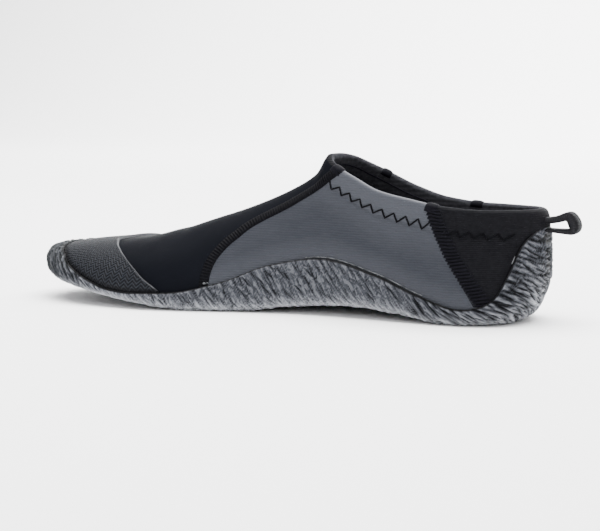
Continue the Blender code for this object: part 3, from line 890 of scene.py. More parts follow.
def painted_edge_light(walk, places):
    """How much painted light the rubber takes: along its lower edge, standing in for light thrown up by the
    floor, and up the back of the heel, standing in for light from behind.
    """
    heel = np.exp(-(walk / PALE_HEEL_WALK) ** 4)
    low = bell(places / (PALE_REACH + PALE_HEEL_REACH * heel))
    back = PALE_BACK * bell(walk / PALE_BACK_WALK) * share_of(PALE_BACK_OVER - places / PALE_BACK_HEIGHT)
    return np.maximum(low, back)


def make_sole():
    """The rubber cup: wall and inside as one piece, the underside with its tread as another."""
    walk, along, run, fine = sole_walk()
    top = turn_at(walk, rand_at(walk))
    turn = even_turns(walk, np.full(len(walk), -1.0), top, WALL_ROWS)
    wall = skin(walk, turn, RAND_OUT)
    up = runs_up(wall)
    height = up[-1]
    edge = wall[0]

    # The underside: a margin that the strokes run into, then the tread
    reach = np.linalg.norm(edge - floor_points(walk, np.zeros(len(walk)), edge, 0.0), axis=-1)
    inward = np.linspace(UNDER_MARGIN, 0.0, UNDER_ROWS, endpoint=False)
    shares = [np.full(len(walk), s) for s in UNDER_SHARES[::-1]]
    shares = np.array(shares + [1.0 - d / reach for d in inward])
    rows = len(shares)
    under = floor_points(walk, shares, edge, 0.0)
    under_up = -(1.0 - shares) * reach
    places = np.concatenate([under_up, up])
    depth = bark(along, np.maximum(places, -2 * UNDER_MARGIN), height, run, fine)
    depth = depth + fringe(along, run) * share_of(1.0 - np.abs(places) / FRINGE_REACH)
    fade = share_of((under_up + UNDER_FADE * UNDER_MARGIN) / UNDER_MARGIN)
    under_depth = np.maximum(depth[:rows] * fade, tread_grooves(walk, shares) * TREAD_DEPTH)
    under[..., 2] += under_depth

    # The wall: strokes fade out under the smooth lip, and the heel's lower back corner is cut in
    wall_depth = depth[rows:]
    from_top = height - up
    lip = share_of(from_top / LIP_HEIGHT)
    share = up / height
    tip = share_of((np.abs(walk) - TIP_START) / TIP_BLEND)
    blunt = TIP_SWELL * bell((share - TIP_SWELL_AT) / TIP_SWELL_WIDE)
    blunt = blunt - TIP_CUT * bell((share - TIP_CUT_AT) / TIP_CUT_WIDE)
    swell = WALL_SWELL * lip * share_of(up / WALL_SWELL_RISE) + blunt * tip
    corner = bell((wall[..., 2] - HEEL_CUT_HEIGHT) / HEEL_CUT_REACH) * bell(walk / HEEL_CUT_WALK)
    lift = RAND_OUT + swell - HEEL_CUT * corner - wall_depth * lip - (1.0 - lip) * LIP_ROUND
    wall = skin(walk, turn, lift)
    wall[..., 2] = np.maximum(wall[..., 2], 0.0)

    # The tones at each place: painted groove shade, painted light along the lower edge and up the heel's
    # back, the darker toe, and the painted shadow band under the lip
    relief = share_of(1.0 - np.concatenate([under_depth, wall_depth]) / GROOVE_SHADE_DEPTH)
    low = painted_edge_light(walk, places) * (PALE_IN_GROOVES + (1.0 - PALE_IN_GROOVES) * relief)
    toe = share_of((np.abs(walk) - TOE_START) / TOE_BLEND)
    toe = toe * np.clip(places / TOE_RISE - TOE_LOW, 0.0, TOE_MOST)
    band = share_of(LIP_SHADOW_OVER - from_top / LIP_SHADOW_SOFT) * (1.0 - LIP_SHADOW_TIP_FADE * tip)
    band = np.concatenate([np.zeros(shares.shape), band])
    tones = {"relief": relief, "low": low, "band": band, "toe": toe}

    # The inside of the cup, painted as dark as the shadow band under the lip
    plate_turn = turn_at(walk, under_at(walk) + SOLE_PLATE, CUP_GAP)
    inner_turn = plate_turn + (top - plate_turn) * np.array(INNER_SHARES)[:, None]
    inner = skin(walk, inner_turn, CUP_GAP)
    plate = floor_points(walk, np.array([[0.0]]), inner[-1], SOLE_PLATE)
    hidden = np.zeros((len(inner) + 1, len(walk)))
    insides = {"band": hidden + 1.0}
    outsides = {name: np.concatenate([tone[rows:], insides.get(name, hidden)])
                for name, tone in tones.items()}
    streak = streaks(walk, along, np.concatenate([places, hidden]))
    material = rubber_material()
    mesh = Mesh()
    mesh.add(np.concatenate([wall, inner, plate]), closed=True, cloth=streak[rows:], **outsides)
    mesh.make("rubber_wall", material, ["outsole"])
    below = slice(0, rows + 1)
    mesh = Mesh()
    mesh.add(np.concatenate([under, wall[:1]]), closed=True, cloth=streak[below],
             **{name: tone[below] for name, tone in tones.items()})
    mesh.make("rubber_tread", material)


# Upper: collar hem, panels and lining
HEM_ROUND = 1.9
HEM_THICK = 4.2
HEM_DEPTH = 12.0
HEM_COLUMNS = 420
HEM_ARC = 13
HEM_SPLIT = 5
HEM_HEEL_STATION = 52.0
HEM_FRONT_STATION = 103.5
RIM_CROWDING = 3.0
RIM_FINE = 1500
EDGE_STEPS = 400
PANEL_THICK = 1.4

# Lift and drop of the facing from the rolled edge down to where it meets the lining
FACING_TAIL = (
    (-HEM_THICK, 0.6 * HEM_DEPTH), (-HEM_THICK, HEM_DEPTH - 0.8),
    (-HEM_THICK + 0.5, HEM_DEPTH), (-NEOPRENE + 0.6, HEM_DEPTH + 0.4),
)
FACING_DROP = 5.5
FACING_PROUD = 0.1
FACING_RADIUS = 0.4

# The seams' ends folded over the collar, between two stations of the medial side
HEEL_WRAP = (48.0, 55.5)
VAMP_WRAP = (103.5, 109.5)
WRAP_THICK = 0.75
WRAP_SUNK = 0.2
WRAP_OUTSIDE = 4.0
WRAP_OUTSIDE_LIFT = 0.6
WRAP_INSIDE = 2.6
WRAP_INSIDE_LIFT = 0.3
WRAP_TONE = 0.4

# Lower edge of the seam band between vamp and quarter, from the sole up to the collar
VAMP_EDGE = table(
    "station height",
    (172.8, 8.0), (172.5, 14.3), (172.1, 19.4), (171.1, 24.0), (169.0, 28.6), (165.4, 33.7),
    (161.2, 37.8), (155.8, 42.8), (149.0, 47.0), (142.0, 50.6), (135.0, 54.2), (128.0, 58.3),
    (120.0, 62.8), (114.0, 66.6), (108.5, 70.2), (103.0, 74.0),
)

# Front edge of the seam band between quarter and heel panel
HEEL_EDGE = table(
    "station height",
    (25.0, 6.0), (28.0, 10.9), (31.0, 15.0), (34.5, 19.8), (38.5, 25.7), (43.0, 32.3), (47.0, 39.8),
    (50.5, 46.4), (53.0, 52.4), (55.0, 59.0),
)
CUP_OVERLAP = 4.0

# On the lateral side both seams lean further back between two heights
LATERAL_VAMP_BACK = 14.0
LATERAL_HEEL_BACK = 3.3
LATERAL_LOW = 20.0
LATERAL_HIGH = 62.0

# Soft troughs (negative) and ridges of the cloth, as lines from a start to an end
CREASES = table(
    "sides station height run rise wide depth",
    (SIDES, 206.0, 12.0, -8.0, 28.0, 6.0, -0.45),
    (SIDES, 191.0, 14.0, -12.0, 28.0, 7.0, 0.30),
    (SIDES, 128.0, 40.0, -22.0, 14.0, 7.0, -0.35),
    ((MEDIAL,), 88.0, 38.0, -26.0, -10.0, 6.0, -0.30),
    ((LATERAL,), 86.0, 36.0, -26.0, -8.0, 6.0, -0.35),
    (SIDES, 40.0, 30.0, -14.0, 6.0, 5.0, -0.30),
)

# The doubled hem, the pull of its stitches and the padded heel and front of the collar
HEM_BULGE = 0.45
HEM_LINE_DROP = 11.5
HEM_STEP = 3.0
HEM_FRONT_FADE = 8.0
STITCH_PULL = -0.35
STITCH_PULL_WIDE = 1.8
STITCH_PULL_FADE = 6.0
HEEL_BULGE = 2.0
HEEL_BULGE_LOW = 37.0
HEEL_BULGE_RISE = 12.0
HEEL_BULGE_WALK = 0.42
HEEL_BULGE_AT_RIM = 0.1
FRONT_BULGE = 1.2
FRONT_BULGE_BEHIND = 1.0
FRONT_BULGE_WIDE = 6.0
FRONT_BULGE_LOW = 66.0
FRONT_BULGE_RISE = 10.0
FRONT_BULGE_AT_RIM = 0.6
RIM_ROLL = 6.0


def crease(walk, turn):
    """Lift of the soft troughs and ridges, and of the doubled cloth of the hem."""
    point = form(walk, turn)
    station, height = -point[..., 0], point[..., 2]
    side = np.broadcast_to(side_of(walk), station.shape)
    lift = np.zeros(station.shape)
    for row in CREASES:
        span = row.run ** 2 + row.rise ** 2
        t = ((station - row.station) * row.run + (height - row.height) * row.rise) / span
        t = share_of(t)
        away = np.hypot(station - row.station - t * row.run, height - row.height - t * row.rise)
        lift += np.where(np.isin(side, row.sides), row.depth * bell(away / row.wide), 0.0)
    drop = by_side(RIM, side, station) - height
    hem = ease(share_of((HEM_LINE_DROP + HEM_STEP / 2 - drop) / HEM_STEP))
    hem = hem * share_of((COLLAR_FRONT + HEM_FRONT_FADE / 2 - station) / HEM_FRONT_FADE)
    stitch = STITCH_PULL * bell((drop - HEM_LINE_DROP) / STITCH_PULL_WIDE)
    stitch = stitch * share_of((COLLAR_FRONT - STITCH_PULL_FADE - station) / STITCH_PULL_FADE)
    roll = share_of(drop / RIM_ROLL)
    roll = roll * (2.0 - roll)
    heel = HEEL_BULGE * ease(share_of((height - HEEL_BULGE_LOW) / HEEL_BULGE_RISE))
    heel = heel * bell(walk / HEEL_BULGE_WALK) * (HEEL_BULGE_AT_RIM + (1.0 - HEEL_BULGE_AT_RIM) * roll)
    front = FRONT_BULGE * bell((station - COLLAR_FRONT + FRONT_BULGE_BEHIND) / FRONT_BULGE_WIDE)
    front = front * share_of((height - FRONT_BULGE_LOW) / FRONT_BULGE_RISE)
    front = front * (FRONT_BULGE_AT_RIM + (1.0 - FRONT_BULGE_AT_RIM) * roll)
    return lift + HEM_BULGE * hem + stitch + heel + front


def surface(walk, turn, lift=0.0):
    """The outside of the soft upper, creases and all, moved out by a lift."""
    walk, turn = np.broadcast_arrays(walk, turn)
    return skin(walk, turn, crease(walk, turn) + lift)


def rim_path():
    """Walk and turn along the collar's edge, from the front round the heel to the front again."""
    share = np.linspace(0.0, 1.0, RIM_FINE)
    half = walk_at(COLLAR_FRONT) * (1.0 - (1.0 - share) ** RIM_CROWDING)
    walk = np.concatenate([-half[::-1], half[1:]])
    run = run_along(form(walk, turn_at(walk, rim_at(walk))))
    walk = np.interp(np.linspace(0.0, run[-1], HEM_COLUMNS), run, walk)
    return walk, turn_at(walk, rim_at(walk))


RIM_WALK, RIM_TURN = rim_path()
RIM_STATION = -form(RIM_WALK, RIM_TURN)[:, 0]


def below_rim(drop):
    """Walk and turn of the line on the form that runs a distance below the collar's edge."""
    points = form(RIM_WALK, RIM_TURN)
    path = np.roll(points, -1, axis=0) - np.roll(points, 1, axis=0)
    path[0] = points[1] - points[-2]
    path[-1] = path[0]
    down = unit(np.cross(unit(path), normals(RIM_WALK, RIM_TURN)))
    return nearest(points + down * drop, RIM_WALK, RIM_TURN)


HEM_LINE = below_rim(HEM_ROUND)


def end_turn(walk, line):
    """The turn at which a panel ends: a line below the collar, or the ridge in front of it."""
    far = np.abs(walk)
    ends = np.ones(far.shape)
    for side in SIDES:
        keep = (line[0] * side) >= 0.0
        at = np.abs(line[0][keep])
        value = line[1][keep]
        order = np.argsort(at)
        at, value = at[order], value[order]
        mine = (side_of(walk) == side) & (far < at[-1])
        ends = np.where(mine, np.interp(far, at, value), ends)
    return ends


def rim_height(station, side):
    """Height of the panels' upper edge at a station."""
    points = form(*HEM_LINE)
    keep = (HEM_LINE[0] * side) > 0.0
    at = -points[keep, 0]
    order = np.argsort(at)
    return np.interp(station, at[order], points[keep, 2][order])


def to_rim(rows, side):
    """An edge's path up to the collar, ending where it meets the panels' upper edge."""
    path = along_path(rows, EDGE_STEPS)
    if side > 0:
        back = LATERAL_VAMP_BACK if rows is VAMP_EDGE else LATERAL_HEEL_BACK
        path[:, 0] -= back * ease(share_of((path[:, 1] - LATERAL_LOW) / (LATERAL_HIGH - LATERAL_LOW)))
    over = path[:, 1] > rim_height(path[:, 0], side)
    last = np.argmax(over) if over.any() else len(path)
    path = path[:last]
    path[-1, 1] = rim_height(path[-1, 0], side)
    return path


def rim_shift(rows, side):
    """How much further back than the medial seam this side's seam meets the collar."""
    return to_rim(rows, MEDIAL)[-1, 0] - to_rim(rows, side)[-1, 0]


def panel(name, walk, turn, material, cloth, keep=None, replaces=(), **values):
    """A slab of cloth on the form; walk and turn are grids (rows up, columns along)."""
    mesh = Mesh()
    mesh.slab(surface(walk, turn, -PANEL_THICK), surface(walk, turn), cloth=cloth, keep=keep, **values)
    return mesh.make(name, material, replaces)


QUARTER_ROWS = 70
QUARTER_COLUMNS = 150
# Painted light on the quarters: lighter over the upper part toward the collar, a step lighter above the hem's
# stitch line, and lighter just above the rubber
HEM_PALE = 0.62
HEM_FADE = 27.0
HEM_PALE_STEP = 2.0
FOOT_PALE = 0.5
FOOT_FADE = 12.0


def make_quarter(name, side, material):
    """The side panel: a patch between the vamp's edge, the heel's edge, the sole and the collar."""
    front = resample(to_rim(VAMP_EDGE, side), QUARTER_ROWS)[:, None, :]
    back = resample(to_rim(HEEL_EDGE, side), QUARTER_ROWS)[:, None, :]
    v = np.linspace(0.0, 1.0, QUARTER_ROWS)[:, None, None]
    u = np.linspace(0.0, 1.0, QUARTER_COLUMNS)[None, :, None]
    station = front[0, 0, 0] + (back[0, 0, 0] - front[0, 0, 0]) * u[0, :, 0]
    low = by_side(RAND, np.full(station.shape, side), station) - CUP_OVERLAP
    foot = np.stack([station, low], axis=-1)[None]
    station = front[-1, 0, 0] + (back[-1, 0, 0] - front[-1, 0, 0]) * u[0, :, 0]
    head = np.stack([station, rim_height(station, side)], axis=-1)[None]
    front[0, 0, 1], back[0, 0, 1] = low[0], low[-1]
    sides = front * (1.0 - u) + back * u
    ends = foot * (1.0 - v) + head * v
    corners = (foot[:, :1] * (1 - u) + foot[:, -1:] * u) * (1 - v)
    corners = corners + (head[:, :1] * (1 - u) + head[:, -1:] * u) * v
    patch = sides + ends - corners
    walk, turn = place(patch[..., 0], patch[..., 1], side)
    if side > 0:
        walk, turn, patch = walk[:, ::-1], turn[:, ::-1], patch[:, ::-1]
    drop = rim_height(patch[..., 0], side) - patch[..., 1]
    above = patch[..., 1] - by_side(RAND, np.full(drop.shape, side), patch[..., 0])
    # Painted light: light from above toward the collar, and light thrown up by the floor just above the
    # rubber
    pale = HEM_PALE / 2 * share_of((HEM_FADE - drop) / HEM_FADE * 2)
    pale = pale + HEM_PALE / 2 * share_of((HEM_LINE_DROP - drop) / HEM_PALE_STEP)
    pale = pale + FOOT_PALE * share_of(1.0 - above / FOOT_FADE)
    return panel(name, walk, turn, material, cloth=patch, pale=pale)


HEEL_ROWS = 60
HEEL_HALF_COLUMNS = 60
HEEL_SIDE_FOOT = 4.0
HEEL_BACK_FOOT = 10.0
HEEL_CLOTH = 60.0


def make_heel_panel(material):
    """The black panel round the back of the heel, from one heel edge to the other."""
    halves = []
    for side in SIDES:
        edge = resample(to_rim(HEEL_EDGE, side), HEEL_ROWS)
        edge[0, 1] = HEEL_SIDE_FOOT
        halves.append(place(edge[:, 0], edge[:, 1], side))
    medial, lateral = halves
    share = np.linspace(-1.0, 1.0, 2 * HEEL_HALF_COLUMNS + 1)[None, :]
    back_low = turn_at(0.0, HEEL_BACK_FOOT)
    back_high = np.interp(0.0, HEM_LINE[0], HEM_LINE[1])
    rise = np.linspace(0.0, 1.0, HEEL_ROWS)[:, None]
    back = back_low + (back_high - back_low) * rise
    walk = np.where(share < 0, -share * medial[0][:, None], share * lateral[0][:, None])
    side_turn = np.where(share < 0, medial[1][:, None], lateral[1][:, None])
    turn = back + (side_turn - back) * share ** 2
    turn = turn + (end_turn(walk[-1], HEM_LINE) - turn[-1]) * rise
    cloth = np.stack([walk * HEEL_CLOTH, form(walk, turn)[..., 2]], axis=-1)
    return panel("heel_panel", walk, turn, material, cloth=cloth)


VAMP_ROWS = 60
VAMP_EDGE_COLUMNS = 60
VAMP_SIDE_COLUMNS = 30
VAMP_TOE_COLUMNS = 70
VAMP_FRONT_COLUMNS = 24
VAMP_FRONT_STEP = 0.02


def make_vamp(material):
    """The front panel over instep and toe, from the medial edge over the ridge to the lateral."""
    edges = []
    for side in SIDES:
        edge = resample(to_rim(VAMP_EDGE, side), VAMP_EDGE_COLUMNS)[::-1]
        at, low = place(edge[:, 0], edge[:, 1], side)
        edges.append((side, np.abs(at), low))
    front = np.abs(HEM_LINE[0]).max()
    near = front - VAMP_FRONT_STEP * np.linspace(0.0, 1.0, VAMP_FRONT_COLUMNS) ** 2
    beside = np.sort(np.concatenate([edges[0][1], edges[1][1], near]))
    ahead = np.linspace(beside[-1], 2.0, VAMP_SIDE_COLUMNS)[1:]
    toe = np.linspace(2.0, 3.0, VAMP_TOE_COLUMNS)[1:]
    walks, turns, joined = [], [], True
    for side, at, low in edges:
        own = np.maximum(beside, at[0])
        rest = side * np.concatenate([ahead, toe])
        foot = np.maximum(rand_at(rest) - CUP_OVERLAP, under_at(rest) + SOLE_PLATE + GAP)
        walk = np.concatenate([side * own, rest])
        start = np.concatenate([np.interp(own, at, low), turn_at(rest, foot)])
        end = np.maximum(end_turn(walk, HEM_LINE), start)
        walks.append(np.broadcast_to(walk, (VAMP_ROWS, len(walk))))
        turns.append(even_turns(walk, start, end, VAMP_ROWS))
        joined = joined & (end == 1.0)
    walk = np.concatenate(walks)
    turn = np.concatenate([turns[0], turns[1][::-1]])
    keep = np.ones((walk.shape[0] - 1, walk.shape[1] - 1), bool)
    keep[VAMP_ROWS - 1] = joined[:-1] & joined[1:]
    return panel("vamp", walk, turn, material, form(walk, turn)[..., :2], keep, ["upper"])


def hem_profile(proud):
    """Lift and drop round the rolled edge from outside to inside, standing proud by a little."""
    profile = []
    for angle in np.linspace(0.0, math.pi, HEM_ARC):
        lift = -HEM_THICK / 2 * (1.0 - math.cos(angle)) + proud * math.cos(angle)
        profile.append((lift, HEM_ROUND * (1.0 - math.sin(angle)) - proud * math.sin(angle)))
    return profile


def hem_grid(profile, chosen):
    return np.array([surface(*below_rim(drop), lift)[chosen] for lift, drop in profile])


def make_hem(name, profile, chosen, material):
    """A strip of the rolled edge over some of the collar's columns."""
    rows = hem_grid(profile, chosen)
    cloth = np.stack(np.broadcast_arrays(run_along(rows[0])[None, :], rows[..., 2]), axis=-1)
    mesh = Mesh()
    # On the grey strips: painted light all over, and a painted highlight growing toward the crest of the roll
    mesh.add(rows, cloth=cloth, edge=np.linspace(0.0, 1.0, len(rows))[:, None] ** 3, pale=HEM_PALE)
    return mesh.make(name, material)


def make_collar(jersey, black, facing):
    """The rolled edge: black in front and round the heel, grey along the quarters, black inside."""
    profile = hem_profile(0.0)
    outside = profile[:HEM_SPLIT + 1]
    inside = profile[HEM_SPLIT:] + list(FACING_TAIL)
    make_hem("hem_facing", inside, slice(0, HEM_COLUMNS), facing)
    index = np.arange(HEM_COLUMNS)
    back = np.where(RIM_WALK > 0, rim_shift(HEEL_EDGE, LATERAL), 0.0)
    front = np.where(RIM_WALK > 0, rim_shift(VAMP_EDGE, LATERAL), 0.0)
    grey = (RIM_STATION > HEM_HEEL_STATION - back) & (RIM_STATION < HEM_FRONT_STATION - front)
    spots = [0, *(index[1:][grey[1:] != grey[:-1]]), HEM_COLUMNS - 1]
    names = ("hem_front_medial", "hem_quarter_medial", "hem_heel", "hem_quarter_lateral", "hem_front_lateral")
    for name, first, last in zip(names, spots[:-1], spots[1:]):
        make_hem(name, outside, slice(first, last + 1), jersey if "quarter" in name else black)


def make_facing_line(material):
    """A row of stitches round the inside of the collar."""
    mesh = Mesh()
    points = surface(*below_rim(FACING_DROP), -HEM_THICK - FACING_PROUD)
    add_thread(mesh, points[2:-2], FACING_RADIUS, rib=1.0)
    return mesh.make("facing_line", material)


def make_wraps(name, rows, stations, material):
    """The upper ends of two seams, folded over the collar's edge between two stations."""
    under = [(0.0, WRAP_OUTSIDE)] + hem_profile(-WRAP_SUNK) + [(-HEM_THICK, WRAP_INSIDE)]
    over = [(WRAP_OUTSIDE_LIFT, WRAP_OUTSIDE)] + hem_profile(WRAP_THICK)
    over = over + [(-HEM_THICK - WRAP_INSIDE_LIFT, WRAP_INSIDE)]
    mesh = Mesh()
    for side in SIDES:
        station = RIM_STATION + rim_shift(rows, side)
        within = (station > stations[0]) & (station < stations[1])
        chosen = np.nonzero(within & (RIM_WALK * side > 0))[0]
        crown = 1.0 - np.abs(np.linspace(-1.0, 1.0, len(chosen)))[None, :, None] ** 4
        base = hem_grid(under, chosen)
        mesh.slab(base, base + (hem_grid(over, chosen) - base) * crown, rib=WRAP_TONE)
    return mesh.make(name, material)


LINING_THICK = 1.2
LINING_ROWS = 40
LINING_LAP = 2.0
LINING_HEEL_COLUMNS = 40
LINING_COLLAR_COLUMNS = 60
LINING_SIDE_COLUMNS = 31
LINING_TOE_COLUMNS = 41
LINING_CROWDING = 1.8


def make_lining(material):
    front = walk_at(COLLAR_FRONT)
    crowded = np.linspace(1.0, 0.0, LINING_COLLAR_COLUMNS) ** LINING_CROWDING
    walk = both_sides(np.concatenate([np.linspace(0.0, 1.0, LINING_HEEL_COLUMNS, endpoint=False),
                                      front - (front - 1.0) * crowded,
                                      np.linspace(front, 2.0, LINING_SIDE_COLUMNS)[1:],
                                      np.linspace(2.0, 3.0, LINING_TOE_COLUMNS)[1:]]))
    start = turn_at(walk, under_at(walk) + SOLE_PLATE + GAP)
    end = end_turn(walk, below_rim(HEM_DEPTH - LINING_LAP))
    turn = even_turns(walk, start, end, LINING_ROWS)
    mesh = Mesh()
    mesh.add(skin(walk, turn, -NEOPRENE), closed=True, flip=True)
    mesh.add(skin(walk, turn, -NEOPRENE + LINING_THICK), closed=True)
    return mesh.make("lining", material)


# Insole
INSOLE_ROUNDS = 4
INSOLE_ROWS = 14
INSOLE_HEEL_COLUMNS = 30
INSOLE_SIDE_COLUMNS = 50
INSOLE_TOE_COLUMNS = 51
INSOLE_FOOT = 0.97
INSOLE_SIDE = 0.8


def make_insole(material):
    walk = both_sides(np.concatenate([np.linspace(0.0, 1.0, INSOLE_HEEL_COLUMNS, endpoint=False),
                                      np.linspace(1.0, 2.0, INSOLE_SIDE_COLUMNS, endpoint=False),
                                      np.linspace(2.0, 3.0, INSOLE_TOE_COLUMNS)]))
    clear = -NEOPRENE - 2 * GAP
    plate = skin(walk, turn_at(walk, under_at(walk) + SOLE_PLATE, CUP_GAP), CUP_GAP)
    root = floor_points(walk, np.zeros(len(walk)), plate, SOLE_PLATE)
    edge = plate
    for _ in range(INSOLE_ROUNDS):
        out = np.linalg.norm(edge[:, :2] - root[:, :2], axis=-1)
        share = out / np.linalg.norm(plate[:, :2] - root[:, :2], axis=-1)
        top = root[:, 2] + (plate[:, 2] - root[:, 2]) * share + GAP + INSOLE_THICK
        edge = skin(walk, turn_at(walk, top, clear), clear)
    shares = np.linspace(1.0, 0.0, INSOLE_ROWS)[:, None]
    top = floor_points(walk, shares, edge, SOLE_PLATE + GAP + INSOLE_THICK)
    low = floor_points(walk, np.array([[0.0], [INSOLE_FOOT]]), edge, SOLE_PLATE + GAP)
    low[1, :, 2] = edge[:, 2] - INSOLE_THICK * INSOLE_SIDE
    mesh = Mesh()
    mesh.add(np.concatenate([low, top]), closed=True)
    return mesh.make("insole_cloth", material, ["insole"])


# Toe cap
CAP_THICK = 0.8
CAP_GAP = 0.4
CAP_SUNK = 0.3
CAP_CLEAR = 0.2
CAP_ROWS = 60
CAP_TOE_COLUMNS = 90
CAP_SIDE_COLUMNS = 22
CAP_START = 2.0
CAP_RIM = 0.9
CAP_RIM_RAISED = 0.3
# The painted highlight on the rear edge grows from its least share low down to full strength higher up
CAP_HIGHLIGHT_LEAST = 0.35
CAP_HIGHLIGHT_LOW = 20.0
CAP_HIGHLIGHT_RISE = 12.0
# Band at the cap's foot that sinks in and takes painted shade against the rubber
CAP_SHADED_FOOT = 1.9
CAP_SHADED_FOOT_OVER = 1.3
CAP_FOOT_SUNK = 0.5

# Stations of the cap's rear edge by height
CAP_EDGE = table(
    "station height",
    (196.0, 8.5), (202.0, 12.6), (208.0, 16.3), (214.0, 20.6), (222.0, 25.4), (229.0, 29.2),
    (236.0, 32.3), (240.5, 33.3),
)


def cap_turn(walk):
    """The turns at which each section leaves the rubber and crosses the toe cap's rear edge."""
    stations, heights = zip(*CAP_EDGE)
    start = turn_at(walk, rand_at(walk) + CAP_CLEAR)
    low = start.copy()
    high = np.ones_like(start)
    for _ in range(HALVINGS):
        middle = (low + high) / 2
        point = form(walk, middle)
        ahead = -point[..., 0] > np.interp(point[..., 2], heights, stations)
        low = np.where(ahead, middle, low)
        high = np.where(ahead, high, middle)
    return start, low


def make_toe_cap(material):
    behind = np.linspace(walk_at(CAP_EDGE[0].station + CAP_START), 2.0, CAP_SIDE_COLUMNS, endpoint=False)
    half = np.concatenate([behind, np.linspace(2.0, 3.0, CAP_TOE_COLUMNS)])
    walk = np.concatenate([-half, half[::-1][1:]])
    start, end = cap_turn(walk)
    turn = even_turns(walk, start, end, CAP_ROWS)
    base = form(walk, turn)
    up = runs_up(base)
    edge = share_of(1.0 - (up[-1] - up) / CAP_RIM)
    # Painted shade at the foot, against the rubber; the same band also sinks the cloth there
    foot = share_of(CAP_SHADED_FOOT_OVER - up / CAP_SHADED_FOOT)
    raised = CAP_RIM_RAISED * share_of(edge * 1.5) - CAP_FOOT_SUNK * foot
    # Painted highlight along the rear edge, stronger higher up where light from above falls
    light = np.clip((base[-1, :, 2] - CAP_HIGHLIGHT_LOW) / CAP_HIGHLIGHT_RISE, CAP_HIGHLIGHT_LEAST, 1.0)
    cloth = np.stack(np.broadcast_arrays(run_along(base[0])[None, :], up), axis=-1)
    mesh = Mesh()
    mesh.slab(surface(walk, turn, CAP_GAP - CAP_SUNK), surface(walk, turn, CAP_GAP + CAP_THICK + raised),
              cloth=cloth, edge=share_of(edge * 2.0) * light, foot=foot)
    return mesh.make("toe_cap_weave", material, ["toe_cap"])


# Flatlock seams
SEAM_LIFT = 0.2
SEAM_CROWN = 0.45
SEAM_ACROSS = 13
SEAM_UNDER = 1.0
SEAM_STEPS = 10
SEAM_EDGE_RIB = 0.35
Flatlock = namedtuple("Flatlock", "wide pitch rib slant overhang tone")
VAMP_LOCK = Flatlock(5.0, 1.5, 0.30, 0.10, 0.0, 0.12)
HEEL_LOCK = Flatlock(6.5, 1.9, 0.65, 1.93, 0.8, 0.7)


def make_seam(name, rows, side, lock, outward, material, node):
    """A raised band beside an edge, ribbed by its stitches."""
    path = to_rim(rows, side)
    path = path[path[:, 1] > by_side(RAND, np.full(len(path), side), path[:, 0]) - SEAM_UNDER]
    length = np.linalg.norm(np.diff(path, axis=0), axis=-1).sum()
    path = resample(path, int(length / lock.pitch * SEAM_STEPS))
    walk, turn = place(path[:, 0], path[:, 1], side)
    points = form(walk, turn)
    run = run_along(points)
    way = unit(np.gradient(points, axis=0))
    aside = np.cross(way, normals(walk, turn)) * side * outward
    inner, outer, cloth, ribs = [], [], [], []
    for share in np.linspace(0.0, 1.0, SEAM_ACROSS):
        rib = 0.5 + 0.5 * np.cos(2 * math.pi * (run / lock.pitch + lock.slant * share))
        from_middle = abs(2 * share - 1)
        across = lock.wide * share + lock.overhang * rib * np.sign(share - 0.5) * from_middle ** 4
        w, t = nearest(points + aside * across[:, None], walk, turn)
        t = np.minimum(t, end_turn(w, HEM_LINE))
        crown = 1.0 - from_middle ** 3
        ridge = lock.rib * (rib - 0.5) * (SEAM_EDGE_RIB + (1.0 - SEAM_EDGE_RIB) * crown)
        inner.append(surface(w, t, 0.0))
        outer.append(surface(w, t, SEAM_LIFT + SEAM_CROWN * crown + ridge))
        cloth.append(np.stack([run, across], axis=-1))
        ribs.append(rib ** 2)
    order = slice(None, None, -1 if side * outward < 0 else 1)
    inner, outer, cloth, ribs = (np.array(grid)[order] for grid in (inner, outer, cloth, ribs))
    mesh = Mesh()
    mesh.slab(inner, outer, cloth=cloth, rib=ribs * lock.tone)
    return mesh.make(name, material, [node])


# Stitches
THREAD_SIDES = 6
THREAD_RADIUS = 0.44
HEEL_THREAD_RADIUS = 0.5
STEEP = 0.9
STITCH_SINK = 0.35

# The middle of the hem's zigzag on the quarter and on the heel panel
ZIGZAG = table(
    "station height",
    (118.2, 69.9), (104.0, 64.0), (92.0, 58.7), (83.0, 55.4), (74.5, 52.8), (66.0, 51.0), (52.6, 48.7),
)
HEEL_ZIGZAG = table("station height", (46.0, 46.0), (35.0, 45.0), (24.0, 44.2), (13.0, 43.6))
ZIGZAG_PITCH = 6.93
ZIGZAG_REACH = 1.7
ZIGZAG_END_REACH = 2.4
ZIGZAG_LEAN = -0.5
ZIGZAG_STEPS = 6
ZIGZAG_LIFT = 0.28
ZIGZAG_UNDER = 2.0
HEEL_ZIGZAG_UNDER = -5.5

# Short stitches on the heel panel: their part of the walk, height above the rubber and length
EDGE_WALK = (0.10, 0.92)
EDGE_FINE = 500
EDGE_ABOVE = 2.6
EDGE_PITCH = 3.0
EDGE_START = 1.0
EDGE_REST = 2.0
EDGE_SHARE = 0.62
EDGE_POINTS = 5
EDGE_LIFT = 0.25


def add_thread(mesh, points, radius, **values):
    """A round thread through some points, drawn to a point at both ends."""
    way = unit(np.gradient(points, axis=0))
    helper = np.where(np.abs(way[:, 2:]) > STEEP, np.array([[1.0, 0.0, 0.0]]), np.array([[0.0, 0.0, 1.0]]))
    first = unit(np.cross(way, helper))[:, None, :]
    second = np.cross(way, first[:, 0])[:, None, :]
    angle = (2 * math.pi * np.arange(THREAD_SIDES) / THREAD_SIDES)[None, :, None]
    radius = np.broadcast_to(radius, len(points))[:, None, None]
    middle = np.repeat(points[:, None, :], THREAD_SIDES, axis=1)
    rings = middle + radius * (first * np.cos(angle) + second * np.sin(angle))
    mesh.add(np.concatenate([middle[:1], rings, middle[-1:]]), closed=True, flip=True, **values)


